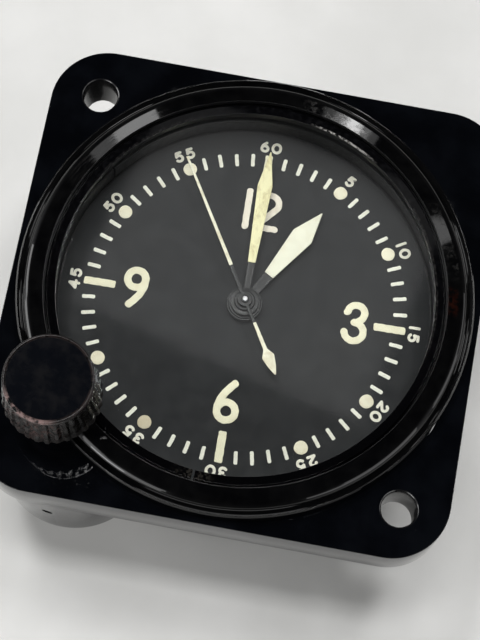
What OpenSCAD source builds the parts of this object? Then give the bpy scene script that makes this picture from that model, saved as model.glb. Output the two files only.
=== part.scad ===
// Small panel clock with a square flange, corner winding knob and lever movement.
// Frame: the dial faces +Z, three o'clock is +X, twelve o'clock is +Y.
// The origin is the centre of the two-hole bolt circle on the flange's rear face.

/* [Case] */
// width of the square flange
flange_w = 59.8; // [56:0.1:64]
// thickness of the flange
flange_t = 7; // [5:0.1:9]
// corner radius of the flange
flange_r = 7.5; // [4:0.1:12]
// distance between the panel holes along each side
hole_pitch = 47.14; // [40:0.01:52]
// radius of a panel hole
hole_r = 2.25; // [1.5:0.05:3]
// radius of the case behind the panel
body_r = 25.2; // [25:0.1:29]
// depth of the case behind the flange
body_d = 25; // [20:0.5:40]
// radius of the bulge behind the winding knob
lobe_r = 10.25; // [9:0.05:12]
// depth of that bulge
lobe_d = 15; // [12:0.5:20]

/* [Front] */
// height of the collar above the flange
collar_h = 3.1; // [2:0.1:5]
// outer radius of the collar
collar_r = 29.2; // [28:0.1:30]
// inner radius of the collar
collar_bore = 25.6; // [24:0.1:27]
// thickness of the glass
glass_t = 2; // [1:0.1:3]

/* [Knob] */
// knob centre, left of the dial centre
knob_x = -20.4; // [-24:0.1:-18]
// knob centre, below the dial centre
knob_y = -19.1; // [-24:0.1:-18]
// radius of the knob at its top face
knob_r = 5.45; // [4:0.05:6]
// radius of the knob's flared lower edge
knob_skirt = 6.2; // [5:0.05:7]
// radius of the hub below the flared part
knob_hub = 4.4; // [3:0.1:5]
// height of the flared lower edge
knob_low = 15; // [11:0.1:18]
// height of the knob's top face
knob_top = 22.3; // [16:0.1:26]
// number of ribs round the knob
knob_ribs = 30; // [16:1:48]

/* [Hands] */
// hour hand angle, clockwise from twelve
hour_a = 29.2; // [0:0.1:360]
// minute hand angle, clockwise from twelve
minute_a = 359.3; // [0:0.1:360]
// seconds hand angle, clockwise from twelve
second_a = 328.6; // [0:0.1:360]

/* [Movement] */
// module of the going train's centre wheel
m_centre = 0.18; // [0.16:0.01:0.2]
// radius of the balance rim
balance_r = 6.1; // [5:0.1:6.2]

/* [Hidden] */
$fn = 64;
e = 0.01;
S = [knob_x, knob_y];
L = [-19.0, -19.5];
function pol(r, a) = [r * cos(a), r * sin(a)];
function ang(a, b) = atan2(b[1] - a[1], b[0] - a[0]);
function dist(a, b) = norm(b - a);
// third corner of a triangle on a-b with sides ra, rb
function corner(a, b, ra, rb, s) =
  let (d = dist(a, b), x = (ra * ra - rb * rb + d * d) / (2 * d), y = sqrt(max(0, ra * ra - x * x)), u = (b - a) / d)
  a + x * u + s * y * [-u[1], u[0]];
// rotation that puts gear B (nb teeth) in mesh with gear A (na teeth, turned ta), B lying at angle phi from A
function mesh(na, ta, phi, nb) = phi + 180 - (360 / nb) * (0.5 - (phi - ta) * na / 360);
function teeth(n, m, ad, de, wr, wt) =
  let (R = m * n / 2, q = [[R - de * m, -wr * m], [R + ad * m, -wt * m], [R + ad * m, wt * m], [R - de * m, wr * m]])
  [for (i = [0:n - 1]) for (p = q) let (c = cos(360 * i / n), s = sin(360 * i / n)) [p[0] * c - p[1] * s, p[0] * s + p[1] * c]];
function wheel_pts(n, m) = teeth(n, m, 0.9, 1.3, 0.95, 0.35);
function pinion_pts(n, m) = teeth(n, m, 0.8, 1.25, 0.62, 0.3);

O = [0, 0];
// gear centres
c_third = (80 + 10) / 2 * m_centre;
m_third = c_third / 42.5;
T = pol(c_third, 100);
E = pol(44 * 0.18, 20);
B = pol(12.6, 225);
I = corner(O, B, 36 * 0.24, 42 * 0.28, 1);
M = pol(7.2, 185);
V = corner(S, B, 6.0, 9.9, 1);
G = corner(M, S, 12.9, 10.3, 1);
P = E + pol(4.16, 50);
W = P + pol(5.0, 20);
K = B + pol(9.0, -20);
KS = K + [-1.4, -6.4];
// gear turns
t_tp = mesh(80, 0, ang(O, T), 10);
t_fp = mesh(75, t_tp, ang(T, O), 10);
t_ep = mesh(80, 0, ang(O, E), 8);
t_cp = mesh(60, 0, ang(I, O), 12);
t_ip = mesh(72, 0, ang(B, I), 12);
t_mw = mesh(12, 0, ang(O, M), 36);
t_hw = mesh(10, 0, ang(M, O), 40);
t_sw = mesh(36, t_mw, ang(M, G), 50);
t_ww = mesh(14, 0, ang(S, V), 26);
t_rw = mesh(26, t_ww, ang(V, B), 40);
pillars = [pol(21.3, 20), pol(21.3, 110), pol(21.3, 189), pol(21.3, 262)];
lugs = [pol(22, 65), pol(22, 150), pol(22, 310)];
bosses = [pol(22.2, 75), pol(22.2, 165), pol(22.2, 255), pol(22.2, 345)];
feet = [pol(20.5, 85), pol(20.5, 335)];
sb_a = G + pol(9.2, 130);
sb_b = G + pol(9.2, -50);
F1 = E + pol(5.4, 230);
F2 = P + pol(2.9, 110);
F3 = W + pol(8.6, 120);

module at(p, z = 0) { translate([p[0], p[1], z]) children(); }
module ring(ro, ri, z0, z1) { translate([0, 0, z0]) difference() { cylinder(r = ro, h = z1 - z0); translate([0, 0, -1]) cylinder(r = ri, h = z1 - z0 + 2); } }
module disc(r, z0, z1) { translate([0, 0, z0]) cylinder(r = r, h = z1 - z0); }
module prism(pts, z0, z1) { translate([0, 0, z0]) linear_extrude(height = z1 - z0) polygon(pts); }
// flat strap between two points
module strap(a, b, w, z0, z1) { at(a) rotate([0, 0, ang(a, b)]) translate([0, -w / 2, z0]) cube([dist(a, b), w, z1 - z0]); }
// flat outline given a height
module flat(z0, z1) { translate([0, 0, z0]) linear_extrude(height = z1 - z0) children(); }
module spot(p, r) { translate([p[0], p[1]]) circle(r = r); }
module bar(a, b, w) { translate([a[0], a[1]]) rotate(ang(a, b)) translate([0, -w / 2]) square([dist(a, b), w]); }
// crossed-out wheel
module wheel(n, m, t, z0, z1, rim, hub, bore, arms) {
  rotate([0, 0, t]) difference() {
    prism(wheel_pts(n, m), z0, z1);
    difference() {
      disc(m * n / 2 - rim, z0 - 1, z1 + 1);
      disc(hub, z0 - 2, z1 + 2);
      for (i = [0:arms - 1]) rotate([0, 0, 360 * i / arms]) translate([0, -0.35, z0 - 2]) cube([m * n / 2, 0.7, z1 - z0 + 4]);
    }
    disc(bore, z0 - 1, z1 + 1);
  }
}
// cheese-head screw pointing down -Z from the plane z; s = 1 head up, s = -1 head down
module screw(p, z, s, rh, hh, r, l) {
  at(p, z) mirror([0, 0, s > 0 ? 0 : 1]) difference() {
    union() { cylinder(r = rh, h = hh); translate([0, 0, -l]) cylinder(r = r, h = l + e); }
    translate([-rh - 1, -0.13, hh * 0.55]) cube([2 * rh + 2, 0.26, hh]);
  }
}

module case() color([0.06, 0.06, 0.06]) {
  difference() {
    union() {
      // square flange with rounded corners
      for (i = [-1, 1]) for (j = [-1, 1]) at([i * (flange_w / 2 - flange_r), j * (flange_w / 2 - flange_r)]) cylinder(r = flange_r, h = flange_t);
      translate([-flange_w / 2, -flange_w / 2 + flange_r, 0]) cube([flange_w, flange_w - 2 * flange_r, flange_t]);
      translate([-flange_w / 2 + flange_r, -flange_w / 2, 0]) cube([flange_w - 2 * flange_r, flange_w, flange_t]);
      // round body and the bulge behind the knob
      disc(body_r, -body_d + 2, 0.5);
      at(L) disc(lobe_r, -lobe_d, 0.5);
      // collar round the glass
      rotate_extrude() polygon([[20, flange_t - 1], [collar_r, flange_t - 1], [collar_r, flange_t], [collar_r - 0.05, flange_t + 1.7], [collar_r - 0.2, flange_t + 1.95],
        [collar_r - 0.45, flange_t + 2.0], [collar_r - 0.75, flange_t + 1.75], [collar_r - 0.88, flange_t + 1.75], [collar_r - 0.95, flange_t + 2.4], [collar_r - 1.15, flange_t + 2.8],
        [collar_r - 1.6, flange_t + collar_h], [collar_bore + 0.5, flange_t + collar_h], [collar_bore + 0.15, flange_t + collar_h - 0.1], [collar_bore, flange_t + collar_h - 0.35], [20, flange_t + collar_h - 0.35]]);
      // boss for the stem bush
      at(S) disc(3, flange_t - 1, flange_t + collar_h - 0.1);
    }
    // stepped bore: glass and dial, plate seat, movement
    disc(collar_bore, 2, flange_t + collar_h + 1);
    disc(24.1, -3, 3);
    difference() {
      disc(23.6, -body_d - 1, -2);
      for (p = lugs) at(p) disc(2.4, -9, -3);
      for (p = bosses) at(p) disc(2.1, -22.4, -16.5);
    }
    // groove of the snap ring
    disc(26.05, flange_t + 1.5, flange_t + 2.2);
    // pocket of the winding work, opened at the bottom for the stem
    at(L) disc(8.6, -13.5, 1.2);
    at(G) disc(8.2, -0.6, 0.8);
    at(S) disc(3.6, -lobe_d - 1, -13);
    at(S) disc(2.1, 0, flange_t + collar_h + 2);
    // screw holes
    for (s = [-1, 1]) at([s * hole_pitch / 2, -s * hole_pitch / 2]) disc(hole_r, -1, flange_t + 1);
    for (p = lugs) at(p) disc(0.7, -7.5, -2);
    for (p = bosses) at(p) disc(0.8, -23, -18.5);
    // vent slot in the bulge
    at(L) rotate([0, 0, -97.5]) translate([lobe_r - 0.9, -0.72, -5.95]) cube([3, 1.45, 0.85]);
  }
}

module rear_cover() color([0.06, 0.06, 0.06]) difference() {
  union() {
    disc(body_r, -body_d, -body_d + 1.6);
    disc(23.3, -body_d + 1.5, -body_d + 2.6);
  }
  for (p = bosses) at(p) { disc(0.9, -body_d - 1, -20); disc(1.7, -body_d - 1, -body_d + 0.9); }
  // shallow raised border
  disc(18.5, -body_d - 1, -body_d + 0.3);
  // hollow inside, clear of the cock screw
  disc(20.3, -body_d + 1.7, -body_d + 3);
}

module rear_gasket() color([0.1, 0.1, 0.1]) ring(body_r - 0.2, 23.7, -body_d + 1.6, -body_d + 2);

module rear_screws() color([0.5, 0.5, 0.52]) for (p = bosses)
  at(p) difference() {
    union() { disc(1.6, -body_d + 0.1, -body_d + 0.9); disc(0.8, -body_d + 0.8, -19.2); }
    translate([-2, -0.15, -body_d - 0.4]) cube([4, 0.3, 0.9]);
  }

module stem_cover() color([0.72, 0.6, 0.32]) at(S) difference() {
  union() { disc(3.6, -lobe_d, -13.5); disc(2.2, -13.6, -11); }
  disc(1.04, -13.4, -10);
  translate([-2.6, -0.4, -lobe_d - 1]) cube([5.2, 0.8, 1.7]);
}

module glass() color([0.8, 0.9, 0.9, 0.3]) disc(25.4, 6.5, 6.5 + glass_t);

module glass_gasket() color([0.08, 0.08, 0.08]) ring(25.55, 24.9, 6.1, 6.5);

module retaining_ring() color([0.12, 0.12, 0.12]) difference() {
  union() {
    ring(25.95, 24.1, 8.55, 9.15);
    translate([0, 0, 9.14]) rotate_extrude() polygon([[24.1, 0], [25.3, 0], [25.1, 0.2], [24.4, 0.36], [24.1, 0.3]]);
  }
  rotate([0, 0, -95]) translate([20, -0.15, 8]) cube([8, 0.3, 3]);
}

module reflector_ring() color([0.2, 0.2, 0.2]) difference() {
  rotate_extrude() polygon([[24.8, 2.8], [25.5, 2.8], [25.5, 6.1], [25.3, 6.1]]);
  rotate([0, 0, 144.5]) translate([20, -0.12, 2]) cube([8, 0.24, 5]);
}

module dial() color([0.22, 0.22, 0.22]) {
  difference() { disc(25.4, 2, 2.8); disc(2.0, 1, 4); }
  for (p = feet) at(p) disc(0.7, -2.9, 2.1);
}

// leaf-shaped hand: list of [distance from the centre, half width]
module leaf(q, hub, bore, z0, z1) difference() {
  union() {
    prism(concat([for (p = q) [p[1], p[0]]], [for (i = [len(q) - 1:-1:0]) [-q[i][1], q[i][0]]]), z0, z1);
    disc(hub, z0, z1);
  }
  disc(bore, z0 - 1, z1 + 1);
}
module hour_hand() color([0.85, 0.8, 0.6]) rotate([0, 0, -hour_a]) {
  leaf([[1.9, 0.55], [4.7, 0.72], [11.9, 1.56], [16.1, 0.06]], 2.3, 1.5, 3.6, 3.9);
  ring(1.9, 1.5, 3.1, 3.65);
}
module minute_hand() color([0.85, 0.8, 0.6]) rotate([0, 0, -minute_a]) {
  leaf([[1.5, 0.42], [5.1, 0.5], [16, 1.02], [20.9, 0.05]], 1.85, 0.9, 4.5, 4.8);
  ring(1.3, 0.9, 4.2, 4.55);
  ring(1.35, 0.9, 4.75, 5.15);
}
module second_hand() color([0.85, 0.8, 0.6]) rotate([0, 0, -second_a]) {
  leaf([[0.5, 0.24], [4.9, 0.26], [20.95, 0.1]], 0.95, 0.3, 5.45, 5.7);
  mirror([0, 1, 0]) difference() {
    prism([[0.24, 0.5], [0.26, 7.2], [0.86, 8.15], [0.5, 9.6], [0, 10.75], [-0.5, 9.6], [-0.86, 8.15], [-0.26, 7.2], [-0.24, 0.5]], 5.45, 5.7);
    disc(0.7, 5, 6);
  }
  ring(0.62, 0.3, 5.2, 5.46);
  ring(0.5, 0.3, 5.69, 5.9);
}

module front_plate() color([0.75, 0.65, 0.35]) difference() {
  union() {
    disc(23.9, -3, -1.4);
    disc(2.2, -3.1, -1.4);
  }
  disc(1.32, -4, 0);
  for (p = lugs) at(p) disc(0.75, -4, 0);
  for (p = feet) at(p) disc(0.74, -4, 0);
  for (p = pillars) at(p) disc(0.7, -4, 0);
  for (p = [T, I, E]) at(p) disc(0.8, -4, 0);
  at(B) disc(1.64, -4, 0);
  for (p = [M, V]) at(p) disc(0.6, -4, 0);
  for (p = [sb_a, sb_b]) at(p) disc(0.5, -4, 0);
  at(K) disc(0.5, -4, 0);
  at(KS) disc(0.45, -4, 0);
  // cut clear of the winding stem
  at(S) disc(3.2, -4, 0);
}

module back_plate() color([0.75, 0.65, 0.35]) difference() {
  disc(23.2, -15.4, -14);
  for (p = lugs) at(p) disc(2.8, -17, -13);
  for (p = bosses) at(p) disc(2.5, -17, -13);
  for (p = pillars) at(p) disc(0.7, -17, -13);
  for (p = [O, T, I, P, W]) at(p) disc(0.8, -17, -13);
  at(E) disc(1.2, -17, -13);
  at(B) disc(1.24, -17, -13);
  for (p = [F1, F2]) at(p) disc(0.45, -17, -13);
  at(F3) disc(0.6, -17, -13);
}

module plate_pillars() color([0.75, 0.65, 0.35]) for (p = pillars) at(p) difference() {
  disc(1.6, -14, -3);
  disc(0.66, -15, -11.5);
  disc(0.66, -5.5, -2);
}

module plate_screws() color([0.35, 0.4, 0.6]) {
  for (p = pillars) { screw(p, -1.4, 1, 1.2, 0.65, 0.66, 3.6); screw(p, -15.4, -1, 1.2, 0.65, 0.66, 3.6); }
  for (p = [sb_a, sb_b]) screw(p, 1.15, 1, 0.9, 0.4, 0.45, 3.6);
  for (p = [F1, F2]) screw(p, -18, -1, 0.8, 0.3, 0.42, 3.4);
  screw(F3, -22, -1, 1.3, 0.6, 0.56, 7.6);
  screw(KS, -0.8, 1, 0.8, 0.4, 0.42, 1.6);
  // shoulder screw of the click
  screw(K, -0.45, 1, 0.95, 0.4, 0.5, 2.5);
}

module movement_screws() color([0.5, 0.5, 0.52]) for (p = lugs) screw(p, -1.4, 1, 1.5, 0.8, 0.7, 5.2);

module barrel() color([0.78, 0.66, 0.34]) at(B) difference() {
  union() {
    prism(wheel_pts(72, 0.28), -5.8, -4.8);
    disc(9.5, -10.8, -5.7);
  }
  disc(8.9, -10.2, -5.4);
  disc(1.64, -12, -4);
  disc(9.15, -12, -10.2);
}

module barrel_cover() color([0.78, 0.66, 0.34]) at(B) ring(9.15, 1.24, -10.8, -10.25);

module barrel_arbor() color([0.6, 0.6, 0.62]) at(B) difference() {
  union() {
    disc(1.2, -15.2, -10.0);
    disc(2.1, -10.1, -5.5);
    disc(1.6, -5.6, -1.2);
    translate([-1, -1, -1.3]) cube([2, 2, 0.65]);
    rotate([0, 0, 60]) translate([1.6, -0.3, -8.6]) cube([0.95, 0.6, 1.2]);
  }
  disc(0.4, -3.5, 0);
}

// flat spiral spring: inner radius, outer radius, turns, half thickness
function spiral(ri, ro, n, h, k = 24) = concat(
  [for (i = [0:n * k]) pol(ri + (ro - ri) * i / (n * k) + h, 360 * i / k)],
  [for (i = [n * k:-1:0]) pol(ri + (ro - ri) * i / (n * k) - h, 360 * i / k)]);
module mainspring() color([0.3, 0.34, 0.45]) at(B) {
  prism(spiral(3.0, 8.65, 9, 0.11), -10.0, -5.6);
}

module ratchet_wheel() color([0.66, 0.67, 0.7]) at(B) rotate([0, 0, t_rw]) difference() {
  prism(wheel_pts(40, 0.3), -1.2, -0.5);
  rotate([0, 0, -t_rw]) translate([-1.01, -1.01, -2]) cube([2.02, 2.02, 3]);
  disc(1.5, -0.8, 0);
}

module ratchet_screw() color([0.35, 0.4, 0.6]) at(B) difference() {
  union() { disc(1.45, -0.64, -0.5); disc(1.2, -0.65, -0.5); disc(0.38, -3, -0.6); }
  translate([-2, -0.12, -0.58]) cube([4, 0.24, 1]);
}

module click() color([0.66, 0.67, 0.7]) difference() {
  at(K) rotate([0, 0, ang(K, B)]) union() {
    disc(1.1, -1.2, -0.5);
    prism([[0.2, -1.05], [1.9, -1.9], [3.0, -2.0], [2.7, -1.2], [1.6, 0.1], [0.4, 1.0]], -1.2, -0.5);
    prism([[-0.3, 1.05], [-1.05, 0.3], [-3.2, 0.75], [-3.2, 1.25]], -1.2, -0.5);
  }
  at(K) disc(0.54, -2, 0);
}

module click_spring() color([0.35, 0.4, 0.5]) difference() {
  union() {
    at(KS) disc(1.1, -1.4, -0.8);
    strap(KS, K + [2.0, -3.6], 0.4, -1.25, -0.85);
    strap(K + [1.9, -3.7], K + [2.5, -2.62], 0.24, -1.25, -0.85);
  }
  at(KS) disc(0.42, -2, 0);
}

module intermediate_wheel() color([0.78, 0.66, 0.34]) at(I) wheel(60, 0.24, 0, -4.3, -3.6, 1.1, 1.9, 0.9, 5);

module intermediate_pinion() color([0.6, 0.6, 0.62]) at(I) union() {
  rotate([0, 0, t_ip]) prism(pinion_pts(12, 0.28), -6.1, -4.5);
  disc(1.3, -4.55, -4.3);
  disc(0.9, -4.4, -3.5);
  disc(0.5, -13.8, -6.0);
  disc(0.5, -3.6, -3.2);
  disc(0.3, -15.0, -13.7);
  disc(0.3, -3.3, -1.8);
}

module centre_wheel() color([0.78, 0.66, 0.34]) wheel(80, 0.18, 0, -11.7, -11.1, 1.0, 2.2, 1.2, 5);

module centre_arbor() color([0.6, 0.6, 0.62]) difference() {
  union() {
    rotate([0, 0, t_cp]) prism(pinion_pts(12, 0.24), -4.6, -3.3);
    disc(1.1, -11.0, -4.5);
    disc(1.5, -11.1, -10.6);
    disc(1.2, -11.8, -11.05);
    disc(1.28, -3.4, -1.3);
    disc(1.0, -1.35, 1.9);
  }
  disc(0.46, -13, 3);
}

module cannon_pinion() color([0.6, 0.6, 0.62]) difference() {
  union() {
    prism(pinion_pts(12, 0.3), -0.3, 0.5);
    disc(1.5, 0.4, 0.7);
    disc(1.3, -1.1, -0.25);
    disc(1.2, 0.6, 4.2);
    disc(0.9, 4.1, 5.1);
  }
  disc(1.0, -2, 1.9);
  disc(0.6, 1.8, 6);
}

module third_wheel() color([0.78, 0.66, 0.34]) at(T) wheel(75, m_third, t_tp, -12.6, -12.0, 1.0, 1.6, 0.7, 5);

module third_pinion() color([0.6, 0.6, 0.62]) at(T) union() {
  rotate([0, 0, t_tp]) prism(pinion_pts(10, 0.18), -11.95, -10.8);
  disc(0.7, -12.7, -11.9);
  disc(0.42, -13.8, -12.6);
  disc(0.42, -10.9, -3.2);
  disc(0.3, -15.0, -13.7);
  disc(0.3, -3.3, -1.8);
}

module fourth_wheel() color([0.78, 0.66, 0.34]) wheel(80, 0.18, 0, -13.5, -12.95, 1.0, 1.6, 0.7, 5);

module fourth_arbor() color([0.6, 0.6, 0.62]) union() {
  rotate([0, 0, t_fp]) prism(pinion_pts(10, m_third), -12.8, -12.0);
  disc(0.7, -13.6, -12.7);
  disc(0.42, -13.8, -13.5);
  disc(0.3, -15.0, -13.7);
  disc(0.42, -12.1, 5.15);
  disc(0.3, 5.1, 6.0);
}

module escape_wheel() color([0.72, 0.73, 0.75]) at(E) rotate([0, 0, 5]) difference() {
  union() {
    ring(2.55, 2.0, -16.5, -16.1);
    disc(0.8, -16.5, -16.1);
    for (i = [0:3]) rotate([0, 0, 90 * i]) translate([0, -0.22, -16.5]) cube([2.3, 0.44, 0.4]);
    for (i = [0:14]) rotate([0, 0, 24 * i]) prism([[2.3, -0.4], [3.2, 0.42], [3.55, 0.45], [3.58, 0.75], [3.1, 0.78], [2.3, 0.32]], -16.5, -16.1);
  }
  disc(0.35, -17, -15);
}

module escape_pinion() color([0.6, 0.6, 0.62]) at(E) union() {
  rotate([0, 0, t_ep]) prism(pinion_pts(8, 0.18), -13.8, -12.7);
  disc(0.35, -17.0, -13.7);
  disc(0.35, -12.8, -3.2);
  disc(0.22, -17.9, -16.9);
  disc(0.22, -3.3, -1.8);
}

module pallet_lever() color([0.66, 0.67, 0.7]) at(P) union() {
  // arms to the stones, lever and fork
  flat(-16.5, -16.1) union() {
    circle(r = 0.45);
    rotate(140) translate([0, -0.25]) square([2.2, 0.5]);
    rotate(-40) translate([0, -0.25]) square([2.2, 0.5]);
    rotate(20) polygon([[0, -0.26], [3.2, -0.2], [3.3, -0.62], [3.9, -0.5], [3.9, -0.22], [3.45, -0.19], [3.45, 0.19], [3.9, 0.22], [3.9, 0.5], [3.3, 0.62], [3.2, 0.2], [0, 0.26]]);
  }
  disc(0.3, -17.0, -15.3);
  disc(0.22, -17.9, -16.9);
  disc(0.22, -15.4, -14.3);
}

module pallet_stones() color([0.7, 0.1, 0.2]) at(P) {
  rotate([0, 0, 140]) translate([1.7, 0.25, -16.42]) cube([0.42, 0.44, 0.24]);
  rotate([0, 0, -40]) translate([1.7, -0.69, -16.42]) cube([0.42, 0.44, 0.24]);
}

module balance_wheel() color([0.8, 0.68, 0.36]) at(W) union() {
  difference() { disc(balance_r - 0.15, -19.2, -18.4); disc(balance_r - 0.95, -20, -18); }
  difference() {
    union() { rotate([0, 0, 35]) translate([-balance_r + 0.5, -0.4, -19.0]) cube([2 * balance_r - 1, 0.8, 0.4]); disc(0.9, -19.0, -18.6); }
    disc(0.5, -20, -18);
  }
  // timing screws in the rim
  for (i = [0:11]) rotate([0, 0, 35 + 30 * i + 15]) translate([balance_r - 0.3, 0, -18.8]) rotate([0, 90, 0]) cylinder(r = 0.28, h = 0.3, $fn = 24);
}

module balance_staff() color([0.6, 0.6, 0.62]) at(W) union() {
  disc(0.5, -19.1, -18.5);
  disc(0.7, -18.6, -18.3);
  disc(0.4, -18.4, -15.3);
  disc(1.1, -17.3, -16.9);
  disc(0.35, -21.1, -19.05);
  disc(0.15, -21.9, -21.0);
  disc(0.15, -15.4, -14.3);
  // impulse pin
  rotate([0, 0, 200]) translate([0.82, 0, 0]) disc(0.13, -17.0, -16.05);
}

module hairspring() color([0.3, 0.35, 0.6]) at(W) union() {
  prism(spiral(1.05, 3.55, 7, 0.045), -20.35, -20.05);
  difference() { disc(0.85, -20.45, -19.95); disc(0.35, -21, -19); }
  rotate([0, 0, 0]) translate([0.8, -0.05, -20.3]) cube([0.25, 0.1, 0.2]);
}

module regulator() color([0.66, 0.67, 0.7]) at(W) difference() {
  rotate([0, 0, -60]) union() {
    disc(1.9, -20.9, -20.7);
    translate([1.0, -0.35, -20.9]) cube([3.4, 0.7, 0.2]);
    translate([3.75, -0.3, -20.8]) cube([0.12, 0.6, 0.9]);
  }
  disc(1.05, -22, -19);
}

module balance_cock() color([0.75, 0.65, 0.35]) difference() {
  union() {
    at(F3) disc(1.9, -22, -15.4);
    at(W) disc(2.2, -22, -21.0);
    strap(F3, W, 2.6, -22, -21.0);
    at(W) disc(1.02, -21.1, -20.65);
    // hairspring stud
    at(W + pol(3.9, 120)) disc(0.3, -21.1, -20.0);
  }
  at(W) disc(0.6, -23, -20);
  at(F3) disc(0.58, -23, -15);
}

module pallet_cock() color([0.75, 0.65, 0.35]) difference() {
  union() {
    flat(-18, -17.2) union() {
      bar(F1, P, 1.7);
      bar(P, F2, 1.7);
      for (p = [P, E]) spot(p, 1.35);
      for (p = [F1, F2]) spot(p, 1.2);
    }
    for (p = [F1, F2]) at(p) disc(1.0, -17.3, -15.4);
  }
  for (p = [E, P]) at(p) disc(0.6, -19, -16);
  for (p = [F1, F2]) at(p) disc(0.44, -19, -15);
}

module jewel(p, r, ri, z0, z1) { at(p) ring(r, ri, z0, z1); }
module jewels() color([0.75, 0.1, 0.2]) {
  for (p = [T, I]) { jewel(p, 0.8, 0.32, -2.7, -1.9); jewel(p, 0.8, 0.32, -14.9, -14.2); }
  jewel(E, 0.8, 0.24, -2.7, -1.9);
  jewel(O, 0.8, 0.32, -14.9, -14.2);
  for (p = [P, W]) jewel(p, 0.8, p == P ? 0.24 : 0.17, -15.3, -14.4);
  for (p = [E, P]) jewel(p, 0.6, 0.24, -17.9, -17.3);
  jewel(W, 0.6, 0.17, -21.9, -21.15);
}

module minute_wheel() color([0.78, 0.66, 0.34]) at(M) difference() {
  union() {
    wheel(36, 0.3, t_mw, -0.2, 0.4, 1.2, 2.2, 0.5, 4);
    prism(pinion_pts(10, 0.288), 0.35, 1.55);
  }
  disc(0.53, -1, 3);
}

module hour_wheel() color([0.78, 0.66, 0.34]) difference() {
  union() {
    wheel(40, 0.288, t_hw, 0.8, 1.4, 1.2, 2.6, 1.2, 4);
    disc(1.5, 1.35, 3.95);
    disc(1.75, 1.35, 1.8);
  }
  disc(1.25, 0, 5);
}

module setting_wheel() color([0.66, 0.67, 0.7]) at(G) wheel(50, 0.3, t_sw, -0.2, 0.4, 1.3, 2.4, 0.74, 5);

module setting_bridge() color([0.75, 0.65, 0.35]) difference() {
  union() {
    strap(sb_a, sb_b, 2.6, 0.65, 1.15);
    for (p = [sb_a, sb_b]) at(p) disc(1.3, -1.4, 1.15);
    at(G) disc(1.6, 0.65, 1.15);
    at(G) disc(0.7, -0.25, 0.7);
  }
  for (p = [sb_a, sb_b]) at(p) disc(0.47, -2, 2);
}

module winding_wheel() color([0.66, 0.67, 0.7]) at(V) rotate([0, 0, t_ww]) difference() {
  prism(wheel_pts(26, 0.3), -1.2, -0.5);
  disc(0.83, -2, 1);
}

module wheel_studs() color([0.6, 0.6, 0.62]) {
  at(M) union() { disc(0.5, -3, 1.5); disc(0.9, -1.4, -0.3); }
  at(V) union() { disc(0.6, -3, -1.3); disc(0.8, -1.41, -0.45); }
}

module knob() color([0.05, 0.05, 0.05]) at(S) difference() {
  // flared body on a hub
  rotate_extrude() polygon([[0, flange_t + 3.7], [knob_hub, flange_t + 3.7], [knob_hub, knob_low], [knob_skirt - 0.2, knob_low], [knob_skirt, knob_low + 0.2],
    [knob_r + 0.03, knob_top - 0.3], [knob_r - 0.3, knob_top], [0, knob_top]]);
  // grooves between the ribs
  for (i = [0:knob_ribs - 1]) rotate([0, 0, 360 * i / knob_ribs]) translate([knob_skirt - 0.32, 0, knob_low])
    rotate([0, -atan((knob_skirt - knob_r) / (knob_top - knob_low)), 0]) translate([0, -0.3, -1]) cube([1.5, 0.6, knob_top - knob_low + 0.1]);
  disc(1.5, 5, knob_top - 2.5);
  rotate([0, 0, 40]) translate([0, 0, 13.5]) rotate([0, 90, 0]) cylinder(r = 0.55, h = 8, $fn = 32);
}

module knob_set_screw() color([0.5, 0.5, 0.52]) at(S) rotate([0, 0, 40]) translate([1.5, 0, 13.5]) rotate([0, 90, 0]) difference() {
  cylinder(r = 0.55, h = 2.9, $fn = 32);
  translate([-1, -0.1, 2.5]) cube([2, 0.2, 1]);
}

module stem() color([0.6, 0.6, 0.62]) at(S) difference() {
  union() {
    disc(1.5, -4.9, knob_top - 2.6);
    disc(1.0, -12.6, -4.8);
    disc(1.9, -5.3, -4.8);
    disc(1.9, -6.6, -6.1);
  }
  disc(5, 30, 31);
}

module winding_pinion() color([0.66, 0.67, 0.7]) at(S) difference() {
  union() {
    prism(pinion_pts(14, 0.3), -1.25, -0.45);
    disc(1.75, -2.6, -1.2);
  }
  disc(1.5, -3, 1);
}

module stem_bushing() color([0.72, 0.6, 0.32]) at(S) ring(2.1, 1.54, 1.2, 9.0);

module stem_seal() color([0.08, 0.08, 0.08]) at(S) ring(2.05, 1.52, 9.05, 9.85);

Y = S + pol(5.2, -22);
module setting_yoke() color([0.66, 0.67, 0.7]) difference() {
  union() {
    flat(-6.05, -5.35) difference() {
      union() { bar(S, Y, 2.6); spot(Y, 1.6); spot(S, 1.6); }
      spot(S, 1.05);
      bar(S, S + pol(4, 158), 2.1);
    }
    at(Y) disc(1.25, -6.6, -4.4);
  }
  at(Y) disc(0.84, -8, -3);
}

module yoke_post() color([0.6, 0.6, 0.62]) at(Y) disc(0.8, -13.5, 1.2);

case();
rear_cover();
rear_gasket();
rear_screws();
stem_cover();
glass();
glass_gasket();
retaining_ring();
reflector_ring();
dial();
hour_hand();
minute_hand();
second_hand();
front_plate();
back_plate();
plate_pillars();
plate_screws();
movement_screws();
barrel();
barrel_cover();
barrel_arbor();
mainspring();
ratchet_wheel();
ratchet_screw();
click();
click_spring();
intermediate_wheel();
intermediate_pinion();
centre_wheel();
centre_arbor();
cannon_pinion();
third_wheel();
third_pinion();
fourth_wheel();
fourth_arbor();
escape_wheel();
escape_pinion();
pallet_lever();
pallet_stones();
balance_wheel();
balance_staff();
hairspring();
regulator();
balance_cock();
pallet_cock();
jewels();
minute_wheel();
hour_wheel();
setting_wheel();
setting_bridge();
winding_wheel();
wheel_studs();
knob();
knob_set_screw();
stem();
winding_pinion();
stem_bushing();
stem_seal();
setting_yoke();
yoke_post();
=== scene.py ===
import bpy, bmesh, math
import numpy as np
from mathutils import Vector, Matrix


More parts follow.
